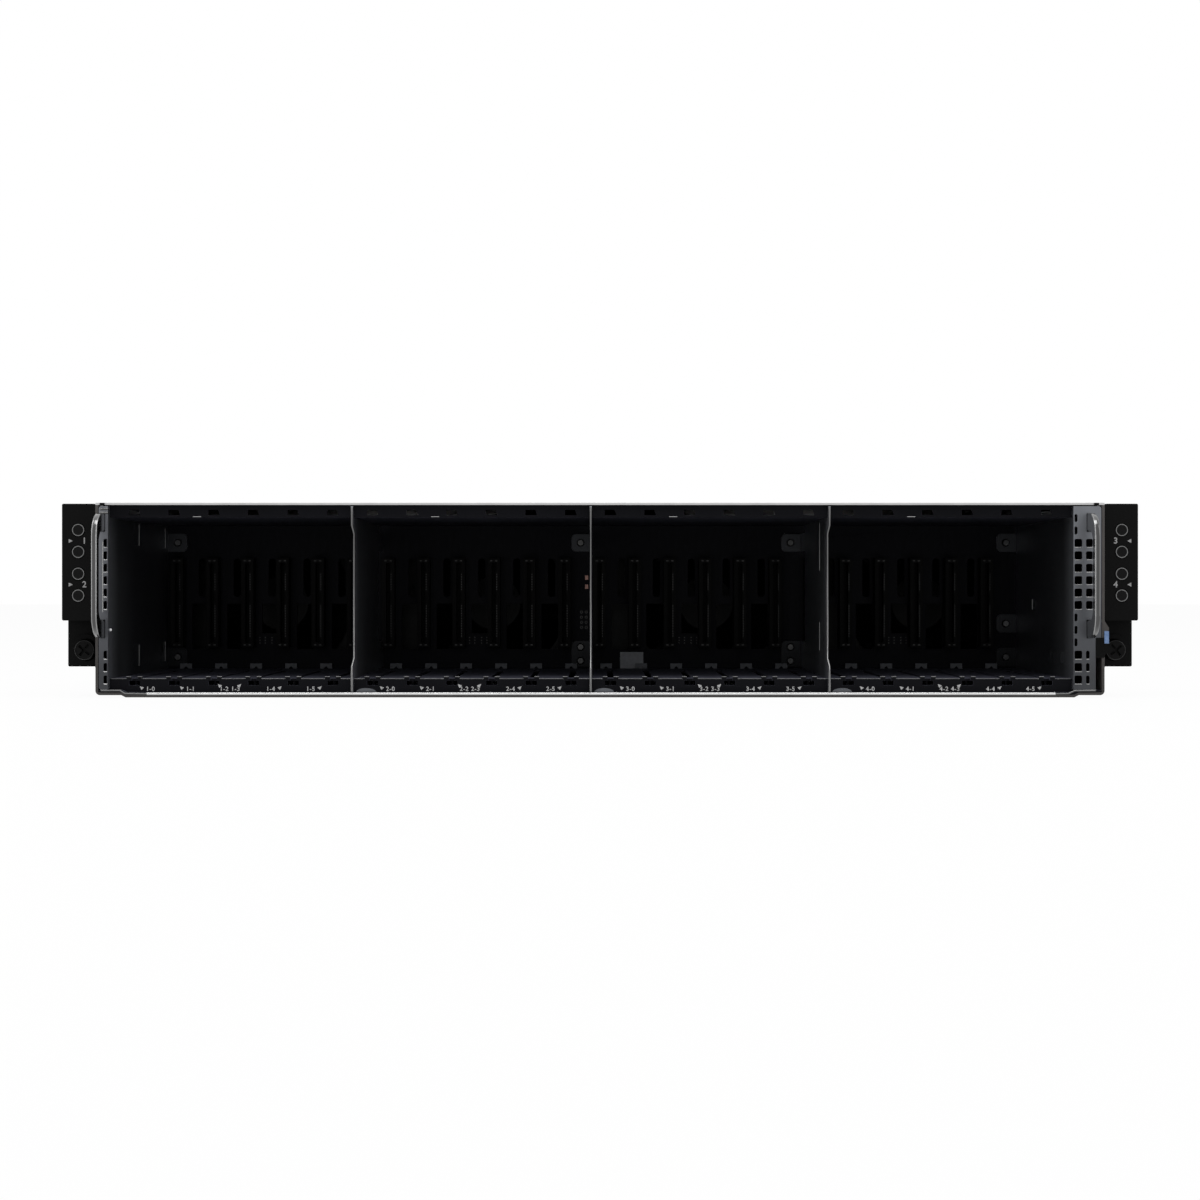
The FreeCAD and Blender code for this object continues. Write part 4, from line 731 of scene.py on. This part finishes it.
def add_rear_tab_faces():
    """Lighter front face on each upright tab at the rear of the bay floor, a flat face in the shaded zinc
    paint: painted light, lighter than the painted shade of the cage around it.
    """
    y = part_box("drive_backplane")[0][1] - 2 * CAGE_SHEET - PRINT_LIFT

    def build(work):
        for x in [bay + REAR_TAB_OFFSET for bay in bay_middles()]:
            for side in (-1, 1):
                foot = x + side * REAR_TAB_FOOT
                end = x + side * REAR_TAB_HALF
                flat_into(work, [(x, REAR_TAB_ARCH_Z), (foot, BAY_FLOOR_Z), (end, BAY_FLOOR_Z),
                                 (end, REAR_TAB_TOP_Z), (x, REAR_TAB_TOP_Z)], y)
    add_piece("rear_tab_faces", build, "dim", "chassis")


def add_half_moons():
    """Flat half-round face on the foot beside each divider, in the shaded zinc paint: painted light that
    stands in for a pressed half-round relief.
    """
    y = cage_front() + LIP_SETBACK - PRINT_LIFT

    def build(work):
        for number in range(1, GROUPS):
            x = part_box("divider_%d" % number)[1][0] + MOON_SHIFT
            angles = [math.pi * step / MOON_STEPS for step in range(MOON_STEPS + 1)]
            flat_into(work, [(x + MOON_HALF * math.cos(angle), MOON_Z + MOON_RISE * math.sin(angle))
                             for angle in angles], y)
    add_piece("foot_reliefs", build, "dim", "chassis")


def add_ceiling_glints():
    """Short bright lanced edges under the upper lip, one for each group."""
    y = cage_front() + LIP_SETBACK
    middles = bay_middles()

    def build(work):
        for group in range(GROUPS):
            x = middles[group * BAYS_IN_GROUP] + GLINT_SHIFT
            ends = (x - GLINT_HALF, x + GLINT_HALF)
            tube_into(work, [(end, y, GLINT_Z) for end in ends], LIP_EDGE_RADIUS)
    add_piece("ceiling_lances", build, "nose", "chassis")


def add_board_parts():
    """Two small parts and a block of plated holes at the right end of the second group."""
    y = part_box("drive_backplane")[0][1]

    def parts(work):
        for z in PART_Z:
            box_into(work, (PART_X[0], y - PART_RISE, z - PART_HALF), (PART_X[1], y, z + PART_HALF))
    add_piece("board_parts", parts, "copper", "chassis")

    def holes(work):
        for x in PLATED_X:
            for row in range(PLATED_ROWS):
                z = PLATED_Z + row * PLATED_PITCH
                ring_into(work, x, y - PRINT_LIFT, z, PLATED_OUTER, PLATED_INNER, HOLE_STEPS)
    add_piece("board_holes", holes, "contact", "chassis")


def add_flange_fold():
    """Rolled fold at the top of the left flange."""
    y = cage_front()
    low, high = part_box("cage_left_wall")

    def build(work):
        for drop in FOLD_DROPS:
            tube_into(work, [(low[0] + x, y, high[2] - drop) for x in FOLD_X], FOLD_RADIUS)
    add_piece("flange_fold", build, "edge", "chassis")


def add_handle_rims():
    """Rolled front edges of the two pull handles."""
    for side in ("left", "right"):
        low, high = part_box(side + "_handle")
        foot_y = cage_front()
        corner = HANDLE_CORNER - RIM_RADIUS
        ends = ((low[2] + HANDLE_CORNER, -1), (high[2] - HANDLE_CORNER, 1))

        def build(work):
            for x in (low[0] + RIM_RADIUS, high[0] - RIM_RADIUS)[:RIMS[side]]:
                points = []
                for z, sign in ends:
                    angles = [math.pi / 2 * step / CORNER_STEPS for step in range(CORNER_STEPS + 1)]
                    arc = [(x, low[1] + HANDLE_CORNER - corner * math.cos(angle),
                            z + sign * corner * math.sin(angle)) for angle in angles]
                    arc.append((x, foot_y - RIM_RADIUS, z + sign * corner))
                    points += arc[::-1] if sign < 0 else arc
                tube_into(work, points, RIM_RADIUS)
        add_piece(side + "_handle_rims", build, "rim", "chassis")


def add_hook_edges():
    """Bright rear edges of the hooks pressed out of the cage walls and the dividers."""
    front = cage_front()
    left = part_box("cage_ceiling")[0][0] + HOOK_RISE
    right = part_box("cage_ceiling")[1][0] - HOOK_RISE
    half = LEFT_HOOK_HEIGHT / 2
    edges = [(left, y, z - half, z + half) for y in LEFT_HOOK_Y for z in LEFT_HOOK_Z]
    edges.append((right, RIGHT_HOOK_Y, *RIGHT_HOOK_Z))
    for number in range(1, GROUPS):
        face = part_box("divider_%d" % number)[1][0] - 2 * DIVIDER_HALF
        edges += [(face, DIVIDER_HOOK_Y, low, high) for low, high in DIVIDER_HOOK_Z]

    def build(work):
        for x, y, low, high in edges:
            tube_into(work, [(x, front + y, low), (x, front + y, high)], HOOK_EDGE_RADIUS)
    add_piece("hook_edges", build, "edge", "chassis")


def add_flange_edges():
    """Bright lower edges of the flange holes and the crease beside the left ones."""
    front = cage_front()
    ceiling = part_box("cage_ceiling")

    def holes(work, side):
        for start, width, rows in FLANGE_HOLES[side]:
            x = ceiling[side][0] + start
            for row in rows:
                z = HOLE_TOP_Z - row * HOLE_PITCH - HOLE_HALF - HOLE_EDGE_RADIUS
                ends = (x + HOLE_MARGIN, x + width - HOLE_MARGIN)
                tube_into(work, [(end, front, z) for end in ends], HOLE_EDGE_RADIUS)
    # Painted light: the left beads take the lighter nose paint and the right ones the darker rim paint, so
    # the left flange's edges read brighter
    add_piece("left_flange_edges", lambda work: holes(work, 0), "nose", "chassis")
    add_piece("right_flange_edges", lambda work: holes(work, 1), "rim", "chassis")

    def crease(work):
        tube_into(work, [(CREASE_X, front, z) for z in CREASE_Z], HOLE_EDGE_RADIUS)
    add_piece("flange_crease", crease, "rim", "chassis")


def add_knob_rims():
    """Ring of lighter metal on the round edge of each captive screw's head: a painted highlight on the rim,
    which the lamps brighten at its top.
    """
    for side in ("left", "right"):
        name = side + "_thumbscrew"
        low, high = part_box(name)
        x = (low[0] + high[0]) / 2
        z = (low[2] + high[2]) / 2
        radius = (high[0] - low[0]) / 2 - KNOB_RIM_INSET
        y = low[1] + KNOB_RIM_INSET / 2
        angles = [2 * math.pi * step / KNOB_STEPS for step in range(KNOB_STEPS + 1)]

        def build(work):
            points = [(x + radius * math.cos(angle), y, z + radius * math.sin(angle)) for angle in angles]
            tube_into(work, points, KNOB_RIM_RADIUS)
        add_piece(name + "_rim", build, "rim_highlight", name)


def add_wall_pin():
    """Small bright pin on the left cage wall behind its flange."""
    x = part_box("cage_ceiling")[0][0]
    middle = Matrix.Translation((x, cage_front() + WALL_PIN_DEPTH, WALL_PIN_Z))

    def build(work):
        bmesh.ops.create_uvsphere(work, u_segments=PIN_SEGMENTS, v_segments=PIN_RINGS,
                                  radius=WALL_PIN_RADIUS, matrix=middle @ SIDEWAYS)
    add_piece("wall_pin", build, "nose", "chassis")


def add_side_rivets():
    """Flush rivets along both sides of the pan."""
    low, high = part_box("base_pan")

    def build(work):
        for x in (low[0], high[0]):
            for step in range(RIVETS_IN_ROW):
                y = high[1] - RIVET_MARGIN - step * RIVET_PITCH
                for z in RIVET_Z:
                    bmesh.ops.create_cone(work, cap_ends=True, segments=RIVET_SEGMENTS, radius1=RIVET_RADIUS,
                                          radius2=RIVET_RADIUS, depth=2 * RIVET_RISE,
                                          matrix=Matrix.Translation((x, y, z)) @ SIDEWAYS)
    add_piece("side_rivets", build, "zinc", "chassis")


def add_top_nubs():
    """Small black stops at the front corners of the lid."""
    low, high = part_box("front_top_cover")

    def build(work):
        for x in NUB_X:
            box_into(work, (x - NUB_HALF, low[1] - NUB_FRONT, high[2] - NUB_DROP),
                     (x + NUB_HALF, low[1] + NUB_BACK, high[2] - NUB_GAP))
    add_piece("top_nubs", build, "black", "chassis")


def plate_into(work, points, front, thickness):
    """Add an upright plate from its (x, z) outline in mm."""
    corners = [work.verts.new((x * MM, front, z * MM)) for x, z in points]
    face = work.faces.new(corners)
    grown = bmesh.ops.extrude_face_region(work, geom=[face])
    moved = [part for part in grown["geom"] if isinstance(part, bmesh.types.BMVert)]
    bmesh.ops.translate(work, verts=moved, vec=(0, thickness, 0))
    bmesh.ops.recalc_face_normals(work, faces=work.faces)


def add_tag():
    """Black arm and bent holder beside the right ear, with the blank blue tag."""
    front = cage_front()

    def arm(work):
        plate_into(work, TAG_ARM, front - TAG_ARM_RISE, TAG_ARM_RISE)
    add_piece("tag_arm", arm, "black", "chassis")

    def holder(work):
        for points in TAG_HOLDER:
            flat_into(work, [(x * MM, z * MM) for x, z in points], front - PRINT_LIFT)
    add_piece("tag_holder", holder, "pan", "chassis")

    def tag(work):
        box_into(work, (TAG_X[0], front, TAG_Z[0]), (TAG_X[1], front + TAG_DEPTH, TAG_Z[1]))
    add_piece("blank_tag", tag, "sky", "chassis")


def seen_rays(tree, share):
    """Share of white for camera, glossy and transmission rays, and none for the rest."""
    path = tree.nodes.new("ShaderNodeLightPath")
    total = path.outputs["Is Camera Ray"]
    for ray in ("Is Glossy Ray", "Is Transmission Ray"):
        most = tree.nodes.new("ShaderNodeMath")
        most.operation = "MAXIMUM"
        tree.links.new(total, most.inputs[0])
        tree.links.new(path.outputs[ray], most.inputs[1])
        total = most.outputs["Value"]
    part = tree.nodes.new("ShaderNodeMath")
    part.operation = "MULTIPLY"
    part.inputs[1].default_value = share
    tree.links.new(total, part.inputs[0])
    return part.outputs["Value"]


def add_stage():
    """White floor that keeps a soft shadow of the part."""
    material, shader = new_material("stage_white")
    nodes = material.node_tree.nodes
    links = material.node_tree.links
    shader.inputs["Base Color"].default_value = FLOOR_COLOUR
    shader.inputs["Roughness"].default_value = FLOOR_ROUGHNESS
    glow = nodes.new("ShaderNodeEmission")
    glow.inputs["Strength"].default_value = 1.0
    mix = nodes.new("ShaderNodeMixShader")
    links.new(seen_rays(material.node_tree, FLOOR_WHITE), mix.inputs["Fac"])
    links.new(shader.outputs["BSDF"], mix.inputs[1])
    links.new(glow.outputs["Emission"], mix.inputs[2])
    output = next(node for node in nodes if node.type == "OUTPUT_MATERIAL")
    links.new(mix.outputs["Shader"], output.inputs["Surface"])
    bpy.ops.mesh.primitive_plane_add(size=FLOOR_SIZE, location=(0, 0, -FLOOR_GAP))
    floor = bpy.context.object
    floor.name = "stage_floor"
    floor.data.materials.append(material)


def add_light(name, location, target, size, power):
    """Soft rectangular lamp that looks at a point."""
    lamp = bpy.data.lights.new(name, "AREA")
    lamp.shape = "RECTANGLE"
    lamp.size = size[0]
    lamp.size_y = size[1]
    lamp.energy = power
    holder = bpy.data.objects.new(name, lamp)
    holder.location = location
    holder.rotation_euler = (Vector(target) - Vector(location)).to_track_quat("-Z", "Y").to_euler()
    bpy.context.scene.collection.objects.link(holder)


def add_world():
    """Soft surround, brighter above, that looks white to the camera and in metal."""
    world = bpy.data.worlds.new("surround")
    world.use_nodes = True
    bpy.context.scene.world = world
    nodes = world.node_tree.nodes
    links = world.node_tree.links
    nodes.clear()
    output = nodes.new("ShaderNodeOutputWorld")
    space = nodes.new("ShaderNodeTexCoord")
    parts = nodes.new("ShaderNodeSeparateXYZ")
    rise = nodes.new("ShaderNodeMapRange")
    rise.inputs["From Min"].default_value = 0.0
    rise.inputs["From Max"].default_value = SKY_RISE
    rise.inputs["To Min"].default_value = SKY_LEVELS[0]
    rise.inputs["To Max"].default_value = SKY_LEVELS[1]
    soft = nodes.new("ShaderNodeBackground")
    white = nodes.new("ShaderNodeBackground")
    white.inputs["Color"].default_value = WHITE
    white.inputs["Strength"].default_value = 1.0
    mix = nodes.new("ShaderNodeMixShader")
    links.new(space.outputs["Generated"], parts.inputs["Vector"])
    links.new(parts.outputs["Z"], rise.inputs["Value"])
    links.new(rise.outputs["Result"], soft.inputs["Strength"])
    links.new(seen_rays(world.node_tree, 1.0), mix.inputs["Fac"])
    links.new(soft.outputs["Background"], mix.inputs[1])
    links.new(white.outputs["Background"], mix.inputs[2])
    links.new(mix.outputs["Shader"], output.inputs["Surface"])


def add_camera():
    """Camera at the photo's place, square to the front."""
    ear_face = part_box("left_control_panel")[0][1]
    data = bpy.data.cameras.new("photo_camera")
    data.lens = CAMERA_LENS
    data.sensor_width = CAMERA_SENSOR
    data.shift_y = HORIZON_PIXELS / PHOTO_PIXELS
    data.clip_start = CAMERA_NEAR
    camera = bpy.data.objects.new("photo_camera", data)
    camera.location = (0, ear_face - CAMERA_DISTANCE, CAMERA_HEIGHT)
    camera.rotation_euler = (math.radians(90), 0, 0)
    bpy.context.scene.collection.objects.link(camera)
    bpy.context.scene.camera = camera


paint_nodes()
add_bay_labels()
add_button_rings()
add_node_numerals()
add_foot_nose()
add_foot_steps()
add_lip_edges()
add_divider_edges()
add_contacts()
add_board_pads()
add_board_parts()
add_rear_tab_faces()
add_half_moons()
add_ceiling_glints()
add_flange_fold()
add_handle_rims()
add_hook_edges()
add_flange_edges()
add_knob_rims()
add_wall_pin()
add_side_rivets()
add_top_nubs()
add_tag()
add_stage()
add_world()
for lamp_settings in LAMPS:
    add_light(*lamp_settings)
add_camera()
bpy.context.scene.view_settings.view_transform = "Standard"
